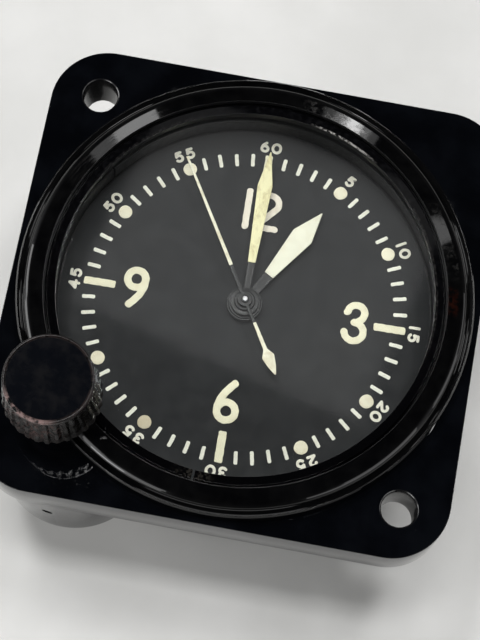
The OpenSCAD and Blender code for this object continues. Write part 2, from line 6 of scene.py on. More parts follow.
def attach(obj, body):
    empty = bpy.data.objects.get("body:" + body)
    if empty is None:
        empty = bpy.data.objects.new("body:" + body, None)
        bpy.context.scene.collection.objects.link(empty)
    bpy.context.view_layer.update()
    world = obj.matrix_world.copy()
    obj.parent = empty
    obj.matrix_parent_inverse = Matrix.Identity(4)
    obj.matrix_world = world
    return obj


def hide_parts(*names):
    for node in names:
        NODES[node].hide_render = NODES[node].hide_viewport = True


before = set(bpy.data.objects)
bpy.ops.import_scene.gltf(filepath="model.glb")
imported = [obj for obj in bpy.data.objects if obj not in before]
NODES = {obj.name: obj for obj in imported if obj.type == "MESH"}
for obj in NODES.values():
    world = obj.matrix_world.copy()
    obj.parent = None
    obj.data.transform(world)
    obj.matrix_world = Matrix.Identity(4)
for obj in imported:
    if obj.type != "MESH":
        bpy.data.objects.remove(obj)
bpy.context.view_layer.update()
sc = bpy.context.scene
MM = 0.001

# ------------------------------------------------------------------ values shared with the solid model (mm)
FW, FT, FR = 59.8, 7.0, 7.5
PITCH, HOLE = 47.14, 2.25
BODY_R, BODY_D = 25.2, 25.0
LOBE, LOBE_R, LOBE_D = (-19.0, -19.5), 10.25, 15.0
STEM = (-20.4, -19.1)
KNOB_R, KNOB_SKIRT, KNOB_HUB, KNOB_Z0, KNOB_LOW, KNOB_Z1, RIBS = 5.45, 6.2, 4.4, 10.7, 15.0, 22.3, 30
HOUR_A, MINUTE_A, SECOND_A = 29.2, 359.3, 328.6
DIAL_TURN = 1.1
REFLECTOR_GAP = 144.5


def pol(r, a):
    return (r * math.cos(math.radians(a)), r * math.sin(math.radians(a)))


LUGS = [pol(22, a) for a in (65, 150, 310)]
BOSSES = [pol(22.2, a) for a in (75, 165, 255, 345)]


# ------------------------------------------------------------------ mesh helpers, all working in millimetres
def link(name, mesh):
    o = bpy.data.objects.new(name, mesh)
    sc.collection.objects.link(o)
    return o


def mesh_of(bm, name):
    bmesh.ops.recalc_face_normals(bm, faces=bm.faces)
    me = bpy.data.meshes.new(name)
    bm.to_mesh(me)
    bm.free()
    return me


def rounded(pts, radii, n=5):
    """Closed outline with its corners rounded; radii is one number or one per corner."""
    out = []
    m = len(pts)
    for i in range(m):
        a, b, c = (Vector((*pts[j % m][:2], 0)) for j in (i - 1, i, i + 1))
        r = radii[i] if isinstance(radii, (list, tuple)) else radii
        u, v = (a - b), (c - b)
        lu, lv = u.length, v.length
        u.normalize()
        v.normalize()
        ang = math.acos(max(-1, min(1, u.dot(v))))
        if r <= 0 or ang > math.pi - 0.02:
            out.append((b.x, b.y))
            continue
        t = min(r / math.tan(ang / 2), 0.48 * lu, 0.48 * lv)
        rr = t * math.tan(ang / 2)
        c0 = b + (u + v).normalized() * (rr / math.sin(ang / 2))
        p0, p1 = b + u * t - c0, b + v * t - c0
        w = math.acos(max(-1, min(1, p0.normalized().dot(p1.normalized()))))
        for k in range(n + 1):
            s = k / n
            q = (p0 * math.sin((1 - s) * w) + p1 * math.sin(s * w)) / max(math.sin(w), 1e-9) + c0
            out.append((q.x, q.y))
    return out


def lathe(profile, segs=192, at=(0, 0), a0=None, a1=None):
    """bmesh turned from a closed (r, z) outline; with a0 and a1 it stops there and gets end faces."""
    bm = bmesh.new()
    full = a0 is None
    angles = [2 * math.pi * i / segs for i in range(segs)] if full else [math.radians(a0 + (a1 - a0) * i / segs) for i in range(segs + 1)]
    rings = []
    poles = {}
    for t in angles:
        ring = []
        for k, (r, z) in enumerate(profile):
            if r < 1e-6:
                if k not in poles:
                    poles[k] = bm.verts.new((at[0], at[1], z))
                ring.append(poles[k])
            else:
                ring.append(bm.verts.new((at[0] + r * math.cos(t), at[1] + r * math.sin(t), z)))
        rings.append(ring)
    m = len(profile)
    steps = len(angles) if full else len(angles) - 1
    for i in range(steps):
        A, B = rings[i], rings[(i + 1) % len(rings)]
        for k in range(m):
            q = [A[k], B[k], B[(k + 1) % m], A[(k + 1) % m]]
            u = []
            for v in q:
                if v not in u:
                    u.append(v)
            if len(u) > 2:
                bm.faces.new(u)
    if not full:
        bm.faces.new(rings[0])
        bm.faces.new(list(reversed(rings[-1])))
    return bm


def disc_profile(r, z0, z1, b0=0.0, b1=0.0, n=4):
    """(r, z) outline of a disc with rounded edges, b0 at the bottom and b1 at the top."""
    return rounded([(0, z0), (r, z0), (r, z1), (0, z1)], [0, b0, b1, 0], n)


def hold(profile, d=0.004):
    """Profile with a point close to both ends of each long straight part, so that smooth shading leaves it straight."""
    out = []
    for a, b in zip(profile, profile[1:] + profile[:1]):
        out.append(a)
        l = math.dist(a, b)
        if l > 5 * d:
            for t in (d / l, 1 - d / l):
                out.append((a[0] + (b[0] - a[0]) * t, a[1] + (b[1] - a[1]) * t))
    return out


def stack(loops):
    """bmesh skinned over closed loops of (x, y, z), capped at both ends."""
    bm = bmesh.new()
    rows = [[bm.verts.new(p) for p in lp] for lp in loops]
    n = len(rows[0])
    for A, B in zip(rows, rows[1:]):
        for i in range(n):
            bm.faces.new([A[i], A[(i + 1) % n], B[(i + 1) % n], B[i]])
    bm.faces.new(list(reversed(rows[0])))
    bm.faces.new(rows[-1])
    return bm


def square_loop(w, r, inset, z, n=20):
    h, rr = w / 2 - inset, max(r - inset, 0.05)
    out = []
    for cx, cy, a in ((1, 1, 0), (-1, 1, 90), (-1, -1, 180), (1, -1, 270)):
        for k in range(n + 1):
            t = math.radians(a + 90 * k / n)
            out.append((cx * (h - rr) + rr * math.cos(t), cy * (h - rr) + rr * math.sin(t), z))
    return out


def boolean(o, bm, op):
    c = link("cutter", mesh_of(bm, "cutter"))
    m = o.modifiers.new("b", "BOOLEAN")
    m.object, m.operation, m.solver = c, op, "EXACT"
    bpy.context.view_layer.update()
    me = bpy.data.meshes.new_from_object(o.evaluated_get(bpy.context.evaluated_depsgraph_get()))
    o.modifiers.clear()
    old = o.data
    o.data = me
    bpy.data.meshes.remove(old)
    cm = c.data
    bpy.data.objects.remove(c)
    bpy.data.meshes.remove(cm)


def shade(o, angle=34, flat_area=1.5):
    """Smooth shading with creases at sharp edges and round the edges of large flat faces (area in mm2, before scaling)."""
    me = o.data
    bm = bmesh.new()
    bm.from_mesh(me)
    lim = math.radians(angle)
    for f in bm.faces:
        f.smooth = True
    for e in bm.edges:
        if len(e.link_faces) != 2:
            continue
        a = e.calc_face_angle(0)
        big = any(abs(f.normal.z) > 0.99995 and f.calc_area() > flat_area for f in e.link_faces)
        e.smooth = not (a > lim or (big and a > math.radians(1.0)))
    bm.to_mesh(me)
    bm.free()


def piece(o, mats, body, replaces=(), angle=34, flat_area=1.5, merge=1e-4):
    """Cleans, shades and scales a millimetre mesh to metres, gives it its materials, puts it under its body's empty and
    hides the solids it replaces.
    """
    me = o.data
    bm = bmesh.new()
    bm.from_mesh(me)
    bmesh.ops.remove_doubles(bm, verts=bm.verts, dist=merge)
    bmesh.ops.dissolve_degenerate(bm, dist=merge, edges=bm.edges)
    bmesh.ops.recalc_face_normals(bm, faces=bm.faces)
    bm.to_mesh(me)
    bm.free()
    shade(o, angle, flat_area)
    me.transform(Matrix.Scale(MM, 4))
    keep = [p.material_index for p in me.polygons]
    me.materials.clear()
    for m in mats if isinstance(mats, (list, tuple)) else [mats]:
        me.materials.append(m)
    if len(me.materials) > 1:
        me.polygons.foreach_set("material_index", [min(k, len(me.materials) - 1) for k in keep])
    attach(o, body)
    if replaces:
        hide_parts(*replaces)
    return o


def plate(name, loops, z0, z1, bevel, res=2, turn=0.0):
    """Object: flat outlines (holes inside outlines are holes) given a thickness with rounded edges. turn is in degrees, counter-clockwise."""
    cu = bpy.data.curves.new(name, "CURVE")
    cu.dimensions = "2D"
    cu.fill_mode = "BOTH"
    cu.extrude = (z1 - z0) / 2 - bevel
    cu.bevel_depth = bevel
    cu.bevel_resolution = res
    cu.offset = -bevel
    c, s = math.cos(math.radians(turn)), math.sin(math.radians(turn))
    for lp in loops:
        sp = cu.splines.new("POLY")
        sp.points.add(len(lp) - 1)
        for p, q in zip(sp.points, lp):
            p.co = (q[0] * c - q[1] * s, q[0] * s + q[1] * c, 0, 1)
        sp.use_cyclic_u = True
    co = link(name + "_c", cu)
    bpy.context.view_layer.update()
    me = bpy.data.meshes.new_from_object(co.evaluated_get(bpy.context.evaluated_depsgraph_get()))
    bpy.data.objects.remove(co)
    bpy.data.curves.remove(cu)
    me.transform(Matrix.Translation((0, 0, (z0 + z1) / 2)))
    return link(name, me)


# ------------------------------------------------------------------ outlines of painted strokes, from a distance field
def contour(fn, box, h):
    """Closed loops where fn(x, y) is zero, found on a grid of pitch h in box (x0, y0, x1, y1)."""
    x0, y0, x1, y1 = box
    xs = np.arange(x0, x1 + h, h)
    ys = np.arange(y0, y1 + h, h)
    X, Y = np.meshgrid(xs, ys, indexing="ij")
    F = fn(X, Y)
    F = np.where(np.abs(F) < 1e-7, 1e-7, F)
    ins = F < 0
    code = ins[:-1, :-1] * 1 + ins[1:, :-1] * 2 + ins[1:, 1:] * 4 + ins[:-1, 1:] * 8
    cells = np.argwhere((code > 0) & (code < 15))

    def pt(i, j, d):
        a, b = (i, j), (i + 1, j) if d == 0 else (i, j + 1)
        fa, fb = F[a], F[b]
        t = fa / (fa - fb)
        return (xs[a[0]] + (xs[b[0]] - xs[a[0]]) * t, ys[a[1]] + (ys[b[1]] - ys[a[1]]) * t)

    TABLE = {1: [(3, 0)], 2: [(0, 1)], 3: [(3, 1)], 4: [(1, 2)], 5: [(3, 2), (1, 0)], 6: [(0, 2)], 7: [(3, 2)], 8: [(2, 3)], 9: [(2, 0)], 10: [(0, 3), (2, 1)], 11: [(2, 1)], 12: [(1, 3)], 13: [(1, 0)], 14: [(0, 3)]}
    nxt, where = {}, {}
    for i, j in cells:
        edges = [(i, j, 0), (i + 1, j, 1), (i, j + 1, 0), (i, j, 1)]
        for a, b in TABLE[int(code[i, j])]:
            nxt[edges[a]] = edges[b]
            where[edges[a]] = pt(*edges[a])
    loops = []
    while nxt:
        start = next(iter(nxt))
        lp, k = [], start
        while k in nxt:
            lp.append(where[k])
            k = nxt.pop(k)
        if len(lp) > 8:
            loops.append(thin(lp, h))
    return loops


def thin(lp, h):
    """Drops points closer than 0.6 of the grid's pitch to the last one kept."""
    out = [lp[0]]
    for p in lp[1:]:
        if math.dist(p, out[-1]) > 0.6 * h:
            out.append(p)
    if math.dist(out[0], out[-1]) < 0.6 * h:
        out.pop()
    return out


def arc(cx, cy, rx, ry, a0, a1, n=28):
    return [(cx + rx * math.cos(math.radians(a0 + (a1 - a0) * k / n)), cy + ry * math.sin(math.radians(a0 + (a1 - a0) * k / n))) for k in range(n + 1)]


def spline(pts, n=8):
    """Smooth curve through points."""
    P = [Vector((*p, 0)) for p in pts]
    P = [P[0] * 2 - P[1]] + P + [P[-1] * 2 - P[-2]]
    out = []
    for i in range(1, len(P) - 2):
        for k in range(n):
            t = k / n
            a, b, c, d = P[i - 1], P[i], P[i + 1], P[i + 2]
            q = 0.5 * ((2 * b) + (c - a) * t + (2 * a - 5 * b + 4 * c - d) * t * t + (3 * b - a - 3 * c + d) * t ** 3)
            out.append((q.x, q.y))
    out.append((P[-2].x, P[-2].y))
    return out


def strokes_sdf(lines, hw, wobble, seed):
    segs = [(np.array(a), np.array(b)) for ln in lines for a, b in zip(ln, ln[1:])]

    def f(X, Y):
        d = np.full(X.shape, 1e9)
        for a, b in segs:
            ab = b - a
            t = np.clip(((X - a[0]) * ab[0] + (Y - a[1]) * ab[1]) / max(ab @ ab, 1e-12), 0, 1)
            d = np.minimum(d, np.hypot(X - a[0] - t * ab[0], Y - a[1] - t * ab[1]))
        return d - hw + ripple(X, Y, wobble, seed)

    return f


def ripple(X, Y, amp, seed):
    """Small unevenness of a hand-filled edge."""
    if not amp:
        return 0.0
    p = seed * 1.7
    return amp * 0.5 * (np.sin(5.1 * X + 3.7 * Y + p) + np.sin(-7.3 * X + 6.1 * Y + 2.3 * p) * 0.7 + np.sin(13.0 * X + 11.0 * Y + 3.1 * p) * 0.4)


def stroke_loops(lines, hw, wobble=0.0, seed=0, h=0.04):
    xs = [p[0] for ln in lines for p in ln]
    ys = [p[1] for ln in lines for p in ln]
    m = hw + 0.12
    return contour(strokes_sdf(lines, hw, wobble, seed), (min(xs) - m, min(ys) - m, max(xs) + m, max(ys) + m), h)


def tick_loops(r0, r1, w, ang, corner, wobble=0.0, seed=0, h=0.04):
    """Rounded bar on the dial, ang clockwise from twelve."""
    a = math.radians(ang)
    u = (math.sin(a), math.cos(a))
    v = (math.cos(a), -math.sin(a))
    c = ((r0 + r1) / 2 * u[0], (r0 + r1) / 2 * u[1])
    hl, hw = (r1 - r0) / 2 - corner, w / 2 - corner

    def f(X, Y):
        p = np.abs((X - c[0]) * u[0] + (Y - c[1]) * u[1]) - hl
        q = np.abs((X - c[0]) * v[0] + (Y - c[1]) * v[1]) - hw
        return np.hypot(np.maximum(p, 0), np.maximum(q, 0)) + np.minimum(np.maximum(p, q), 0) - corner + ripple(X, Y, wobble, seed)

    m = (r1 - r0) / 2 + w / 2 + 0.15
    return contour(f, (c[0] - m, c[1] - m, c[0] + m, c[1] + m), h)


def dot_loops(r, ang, rad, seed):
    a = math.radians(ang)
    c = (r * math.sin(a), r * math.cos(a))
    f = lambda X, Y: np.hypot(X - c[0], Y - c[1]) - rad + ripple(X * 0.6, Y * 0.6, 0.03, seed)
    return contour(f, (c[0] - 1.2, c[1] - 1.2, c[0] + 1.2, c[1] + 1.2), 0.035)


SMALL = {
    "0": [arc(0, 0, 0.52, 0.60, 0, 360)],
    "1": [[(0, 0.60), (0, -0.60)]],
    "2": [arc(0.0, 0.24, 0.38, 0.36, 165, -25) + [(-0.42, -0.58), (-0.42, -0.60), (0.44, -0.60)]],
    "3": [arc(-0.02, 0.30, 0.34, 0.30, 155, -95), arc(-0.02, -0.28, 0.40, 0.32, 95, -150)],
    "4": [[(0.18, -0.60), (0.18, 0.60), (-0.46, -0.20), (0.46, -0.20)]],
    "5": [[(0.34, 0.60), (-0.24, 0.60), (-0.33, 0.08)] + arc(-0.02, -0.20, 0.42, 0.40, 128, -145)],
    "6": [arc(0, -0.22, 0.42, 0.38, 0, 360), spline([(-0.41, -0.14), (-0.28, 0.22), (0.16, 0.62)])],
}


def small_number(text, ang, r=22.22, gap=1.56):
    """Strokes of a small number with its top outward, ang clockwise from twelve."""
    t = math.radians(-ang)
    out = []
    for i, ch in enumerate(text):
        off = (i - (len(text) - 1) / 2) * gap * (0.86 if "1" in text else 1.0)
        for ln in SMALL[ch]:
            out.append([((x + off) * math.cos(t) - (y + r) * math.sin(t), (x + off) * math.sin(t) + (y + r) * math.cos(t)) for x, y in ln])
    return out


# ------------------------------------------------------------------ materials
class Mat:
    """Small builder for node materials. Positions are in millimetres of the part's own frame."""

    def __init__(self, name):
        self.m = bpy.data.materials.new(name)
        self.m.use_nodes = True
        self.t = self.m.node_tree
        self.t.nodes.clear()
        self.out = self.add("ShaderNodeOutputMaterial")
        tc = self.add("ShaderNodeTexCoord")
        mp = self.add("ShaderNodeMapping")
        mp.inputs["Scale"].default_value = (1000, 1000, 1000)
        self.link(tc.outputs["Object"], mp.inputs["Vector"])
        self.pos = mp.outputs["Vector"]
        self._xyz = None

    def add(self, kind, **kw):
        n = self.t.nodes.new(kind)
        for k, v in kw.items():
            setattr(n, k, v)
        return n

    def link(self, a, b):
        self.t.links.new(a, b)

    def put(self, sock, v):
        if isinstance(v, bpy.types.NodeSocket):
            self.link(v, sock)
        elif isinstance(v, (tuple, list)) and len(v) == 3 and sock.type == "RGBA":
            sock.default_value = (*v, 1)
        else:
            sock.default_value = v

    @property
    def xyz(self):
        if self._xyz is None:
            s = self.add("ShaderNodeSeparateXYZ")
            self.link(self.pos, s.inputs[0])
            self._xyz = s.outputs
        return self._xyz

    def math(self, op, a, b=None, c=None, clamp=False):
        n = self.add("ShaderNodeMath", operation=op, use_clamp=clamp)
        for s, v in zip(n.inputs, (a, b, c)):
            if v is not None:
                self.put(s, v)
        return n.outputs[0]

    def noise(self, scale, detail=3.0, rough=0.55, distortion=0.0, vec=None, kind="Fac"):
        n = self.add("ShaderNodeTexNoise")
        n.inputs["Scale"].default_value = scale
        n.inputs["Detail"].default_value = detail
        n.inputs["Roughness"].default_value = rough
        n.inputs["Distortion"].default_value = distortion
        self.link(vec or self.pos, n.inputs["Vector"])
        return n.outputs[kind]

    def stretched(self, sx, sy, sz):
        mp = self.add("ShaderNodeMapping")
        mp.inputs["Scale"].default_value = (sx, sy, sz)
        self.link(self.pos, mp.inputs["Vector"])
        return mp.outputs["Vector"]

    def shifted(self, x, y, z):
        mp = self.add("ShaderNodeMapping")
        mp.inputs["Location"].default_value = (x, y, z)
        self.link(self.pos, mp.inputs["Vector"])
        return mp.outputs["Vector"]

    def step(self, v, lo, hi, a=0.0, b=1.0):
        """Smooth step of v from lo to hi, giving a to b."""
        n = self.add("ShaderNodeMapRange", interpolation_type="SMOOTHSTEP")
        self.put(n.inputs["Value"], v)
        n.inputs["From Min"].default_value, n.inputs["From Max"].default_value = lo, hi
        n.inputs["To Min"].default_value, n.inputs["To Max"].default_value = a, b
        return n.outputs["Result"]

    def mul(self, *v):
        out = v[0]
        for x in v[1:]:
            out = self.math("MULTIPLY", out, x)
        return out

    def mix(self, f, a, b):
        n = self.add("ShaderNodeMix", data_type="RGBA")
        self.put(n.inputs[0], f)
        self.put(n.inputs[6], a)
        self.put(n.inputs[7], b)
        return n.outputs[2]

    def radius(self, cx=0.0, cy=0.0):
        x = self.math("SUBTRACT", self.xyz[0], cx)
        y = self.math("SUBTRACT", self.xyz[1], cy)
        return self.math("SQRT", self.math("ADD", self.mul(x, x), self.mul(y, y)))

    def angle(self, cx=0.0, cy=0.0):
        """Degrees counter-clockwise from +X, -180 to 180."""
        x = self.math("SUBTRACT", self.xyz[0], cx)
        y = self.math("SUBTRACT", self.xyz[1], cy)
        return self.mul(self.math("ARCTAN2", y, x), 57.29578)

    def near(self, v, centre, half, soft):
        """1 where v is within half of centre, falling to 0 over soft."""
        d = self.math("ABSOLUTE", self.math("SUBTRACT", v, centre))
        return self.step(d, half, half + soft, 1.0, 0.0)

    def specks(self, cell, radius, share, vec=None):
        """Sparse round specks: cells of this size in mm, specks of this radius in mm in a share of the cells."""
        n = self.add("ShaderNodeTexVoronoi", feature="F1")
        n.inputs["Scale"].default_value = 1.0 / cell
        n.inputs["Randomness"].default_value = 1.0
        self.link(vec or self.pos, n.inputs["Vector"])
        s = self.add("ShaderNodeSeparateColor")
        self.link(n.outputs["Color"], s.inputs[0])
        pick = self.math("LESS_THAN", s.outputs[0], share)
        size = self.math("MULTIPLY_ADD", s.outputs[1], radius / cell * 0.8, radius / cell * 0.4)
        d = self.math("DIVIDE", n.outputs["Distance"], size)
        return self.mul(pick, self.step(d, 0.6, 1.0, 1.0, 0.0))

    def bump(self, height, strength, distance):
        n = self.add("ShaderNodeBump")
        n.inputs["Strength"].default_value = strength
        n.inputs["Distance"].default_value = distance * MM
        self.put(n.inputs["Height"], height)
        return n.outputs["Normal"]

    def surface(self, colour, rough, metallic=None, normal=None, **kw):
        n = self.add("ShaderNodeBsdfPrincipled")
        self.put(n.inputs["Base Color"], colour)
        self.put(n.inputs["Roughness"], rough)
        if metallic is not None:
            self.put(n.inputs["Metallic"], metallic)
        if normal is not None:
            self.put(n.inputs["Normal"], normal)
        for k, v in kw.items():
            self.put(n.inputs[k.replace("_", " ")], v)
        self.link(n.outputs[0], self.out.inputs["Surface"])
        return self.m


def case_material():
    k = Mat("case_black")
    fine = k.noise(3.0, 4)
    broad = k.noise(0.16, 3)
    dust = k.specks(3.4, 0.075, 0.13)
    dust2 = k.specks(1.3, 0.040, 0.05)
    near_knob = k.step(k.radius(-17.5, -24.5), 2.5, 8.0, 1.0, 0.0)
    dirt = k.mul(near_knob, k.step(k.noise(2.6, 5, 0.7), 0.60, 0.70))
    film = k.mul(k.step(k.radius(-17.5, -24.5), 1.0, 9.0, 1.0, 0.0), k.step(k.noise(0.5, 4, 0.6), 0.40, 0.70))
    top = k.step(k.xyz[2], 6.6, 6.95)
    d = k.mul(k.math("MAXIMUM", dust, k.mul(dust2, 0.6)), top)
    base = k.mix(k.step(broad, 0.35, 0.7), (0.0010, 0.0012, 0.0018), (0.0022, 0.0026, 0.0036))
    base = k.mix(k.mul(film, 0.06), base, (0.010, 0.009, 0.009))
    base = k.mix(k.mul(dirt, 0.10), base, (0.024, 0.020, 0.019))
    base = k.mix(k.mul(d, 0.55), base, (0.26, 0.26, 0.25))
    rough = k.math("ADD", k.step(broad, 0.3, 0.75, 0.020, 0.034), k.mul(d, 0.4))
    rough = k.math("ADD", rough, k.mul(dirt, 0.12))
    n = k.bump(k.math("ADD", k.mul(fine, 0.15), k.mul(dirt, 1.0)), 0.04, 0.01)
    return k.surface(base, rough, normal=n, IOR=1.36)


def collar_material():
    k = Mat("collar_black")
    r, a, z = k.radius(), k.angle(), k.xyz[2]
    crown = k.mul(k.near(r, 26.3, 0.75, 0.2), k.step(z, 9.6, 9.85))
    # polar coordinates: streaks run round the collar
    cb = k.add("ShaderNodeCombineXYZ")
    k.put(cb.inputs[0], k.mul(r, 5.0))
    k.put(cb.inputs[1], k.mul(a, 0.16))
    k.put(cb.inputs[2], k.mul(z, 0.6))
    streak = k.noise(1.0, 5, 0.65, 0.3, vec=cb.outputs[0])
    mott = k.noise(1.1, 5, 0.66, 0.5)
    fine = k.noise(6.0, 4, 0.7)
    # scuffed lengths of the crown at the upper right and right, and at the upper left; they lighten the crown where it
    # catches its highlights, so they are partly real scuffing and partly painted highlight
    ur = k.mul(crown, k.near(a, 73.0, 7.5, 5), k.step(mott, 0.44, 0.62))
    rt = k.mul(crown, k.near(a, 25, 8, 5), k.step(mott, 0.46, 0.64))
    ul = k.mul(crown, k.near(a, 140, 12, 8), k.step(streak, 0.46, 0.62))
    light = k.mul(crown, k.step(k.noise(0.9, 5, 0.7), 0.62, 0.78))
    scuff_and_highlight = k.math("MAXIMUM", k.math("MAXIMUM", k.mul(ur, 0.45), k.math("MAXIMUM", k.mul(rt, 0.28), k.mul(ul, 0.22))), k.mul(light, 0.05))
    # reddish worn patch on the crown at the right
    brown = k.mul(k.near(a, 7.0, 1.6, 3.5), k.near(r, 26.1, 0.45, 0.45), k.step(k.noise(1.3, 4, 0.6), 0.42, 0.58))
    dust = k.specks(2.4, 0.055, 0.10)
    base = k.mix(k.step(k.noise(0.4, 3), 0.3, 0.7), (0.0009, 0.0009, 0.0011), (0.0022, 0.0022, 0.0023))
    # partly painted highlight: the scuffed lengths lighten the crown's colour where it catches highlights
    base = k.mix(k.mul(scuff_and_highlight, k.step(fine, 0.3, 0.7)), base, (0.050, 0.048, 0.046))
    base = k.mix(k.mul(brown, 0.85), base, (0.0105, 0.0024, 0.0013))
    base = k.mix(k.mul(dust, 0.5), base, (0.24, 0.24, 0.23))
    rough = k.math("ADD", k.step(streak, 0.35, 0.70, 0.020, 0.036), k.mul(scuff_and_highlight, 0.16))
    rough = k.math("ADD", rough, k.mul(brown, 0.03))
    rough = k.math("ADD", rough, k.step(r, 25.506, 25.53, 0.40, 0.0))
    h = k.math("ADD", k.mul(streak, 0.45), k.mul(mott, k.mul(scuff_and_highlight, 0.9)))
    return k.surface(base, rough, normal=k.bump(h, 0.06, 0.02), IOR=1.36)


def hole_material():
    k = Mat("case_cut_black")
    n = k.noise(4.0, 4)
    return k.surface(k.mix(n, (0.002, 0.002, 0.0025), (0.007, 0.007, 0.0075)), k.step(n, 0.3, 0.7, 0.14, 0.24), normal=k.bump(k.noise(2.0, 3, vec=k.stretched(1, 1, 5)), 0.1, 0.02), IOR=1.5)


def ring_material():
    k = Mat("ring_black")
    a = k.angle()
    n = k.noise(2.2, 5, 0.7)
    # worn paint on the ring's inner top edge, lightest at the upper right where the edge glints: partly real wear,
    # partly painted highlight
    worn = k.mul(k.near(k.radius(), 24.15, 0.10, 0.08), k.step(k.xyz[2], 9.35, 9.5), k.step(n, 0.42, 0.60), k.math("MAXIMUM", k.near(a, 68, 5, 8), k.math("MAXIMUM", k.mul(k.near(a, 133, 12, 12), 0.03), k.mul(k.near(a, 15, 18, 12), 0.05))))
    grime = k.mul(k.near(a, -95, 3.0, 4), k.step(k.noise(3.0, 4), 0.45, 0.6))
    # lighter mottling, on the upper half of the ring only
    dirt = k.mul(k.step(k.noise(1.6, 5, 0.7), 0.45, 0.65), k.step(k.mul(k.math("SINE", k.mul(a, 0.01745)), 1.0), -0.6, 0.4))
    base = k.mix(k.noise(0.8, 3), (0.0006, 0.0006, 0.0009), (0.0015, 0.0015, 0.0018))
    base = k.mix(k.mul(dirt, 0.30), base, (0.011, 0.011, 0.012))
    # partly painted highlight: the worn inner edge is lightened where it glints
    base = k.mix(k.mul(worn, 0.8), base, (0.34, 0.33, 0.31))
    base = k.mix(k.mul(grime, 0.4), base, (0.04, 0.036, 0.030))
    rough = k.math("ADD", k.step(k.noise(1.0, 3), 0.3, 0.7, 0.022, 0.034), k.mul(worn, 0.2))
    rough = k.math("ADD", rough, k.step(k.radius(), 23.985, 24.01, 0.40, 0.0))
    return k.surface(base, rough, normal=k.bump(n, 0.04, 0.008), IOR=1.36)


def reflector_material():
    k = Mat("reflector_black")
    n = k.noise(1.4, 4)
    # painted shade: the wall is darkened towards its foot at the dial, where it lies in shade
    clear_of_foot_shade = k.step(k.xyz[2], 3.3, 4.6)
    base = k.mix(clear_of_foot_shade, (0.003, 0.003, 0.003), (0.020, 0.020, 0.021))
    return k.surface(k.mix(k.mul(n, 0.3), base, (0.024, 0.024, 0.025)), k.step(n, 0.3, 0.7, 0.45, 0.6), normal=k.bump(k.noise(6.0, 3), 0.1, 0.02), IOR=1.4)


def dial_material():
    k = Mat("dial_black")
    mott = k.noise(0.35, 5, 0.6)
    grain = k.noise(9.0, 3, 0.7)
    speck = k.specks(2.4, 0.10, 0.085)
    speck2 = k.specks(0.9, 0.035, 0.05)
    hairs = k.step(k.noise(0.7, 2, 0.4, 0.3, vec=k.stretched(0.35, 3.2, 1.0)), 0.735, 0.755)
    dirt = k.step(k.noise(0.11, 4, 0.65), 0.44, 0.66)
    # painted shade: the dial is darkened towards its rim, under the reflector ring
    edge = k.step(k.radius(), 24.05, 24.35)
    base = k.mix(mott, (0.0105, 0.0115, 0.0132), (0.0150, 0.0158, 0.0170))
    base = k.mix(k.mul(dirt, 0.3), base, (0.019, 0.019, 0.0188))
    base = k.mix(k.mul(grain, 0.16), base, (0.021, 0.021, 0.021))
    base = k.mix(k.mul(hairs, 0.20), base, (0.06, 0.06, 0.06))
    base = k.mix(k.mul(edge, 0.85), base, (0.004, 0.004, 0.004))
    base = k.mix(k.mul(k.math("MAXIMUM", speck, speck2), 0.28), base, (0.20, 0.20, 0.19))
    return k.surface(base, k.step(mott, 0.3, 0.7, 0.60, 0.72), normal=k.bump(grain, 0.08, 0.02), IOR=1.3)


def lume_material(name, colour, stain, amount, shift=(0, 0, 0), grain_size=3.5, stretch=None, aged=None):
    k = Mat(name)
    vec = k.shifted(*shift)
    if stretch:
        mp = k.add("ShaderNodeMapping")
        mp.inputs["Scale"].default_value = stretch
        k.link(vec, mp.inputs["Vector"])
        vec = mp.outputs["Vector"]
    blot = k.step(k.noise(0.8, 5, 0.65, 0.4, vec=vec), 0.46, 0.70)
    spots = k.specks(0.8, 0.075, 0.12)
    grain = k.noise(grain_size * 2.2, 4, 0.7)
    light = k.step(k.noise(0.5, 3, vec=vec), 0.35, 0.65)
    c2 = tuple(min(1.0, x * 1.07) for x in colour)
    base = k.mix(light, colour, c2)
    if aged:
        base = k.mix(k.mul(k.step(k.radius(aged[0], aged[1]), aged[2], aged[3], 1.0, 0.0), 0.75), base, (0.62, 0.53, 0.37))
    base = k.mix(k.mul(blot, amount), base, stain)
    base = k.mix(k.mul(spots, amount, 0.8), base, tuple(x * 0.6 for x in stain))
    base = k.mix(k.mul(k.step(grain, 0.55, 0.75), 0.22), base, tuple(x * 0.82 for x in colour))
    return k.surface(base, k.step(grain, 0.3, 0.7, 0.72, 0.88), normal=k.bump(k.math("ADD", grain, k.mul(blot, 0.5)), 0.25, 0.04), IOR=1.4)


def paint_black_material():
    k = Mat("hand_black")
    n = k.noise(2.5, 4)
    return k.surface(k.mix(n, (0.006, 0.006, 0.007), (0.012, 0.012, 0.012)), k.step(n, 0.3, 0.7, 0.26, 0.40), normal=k.bump(k.noise(9.0, 3), 0.12, 0.02), IOR=1.32)


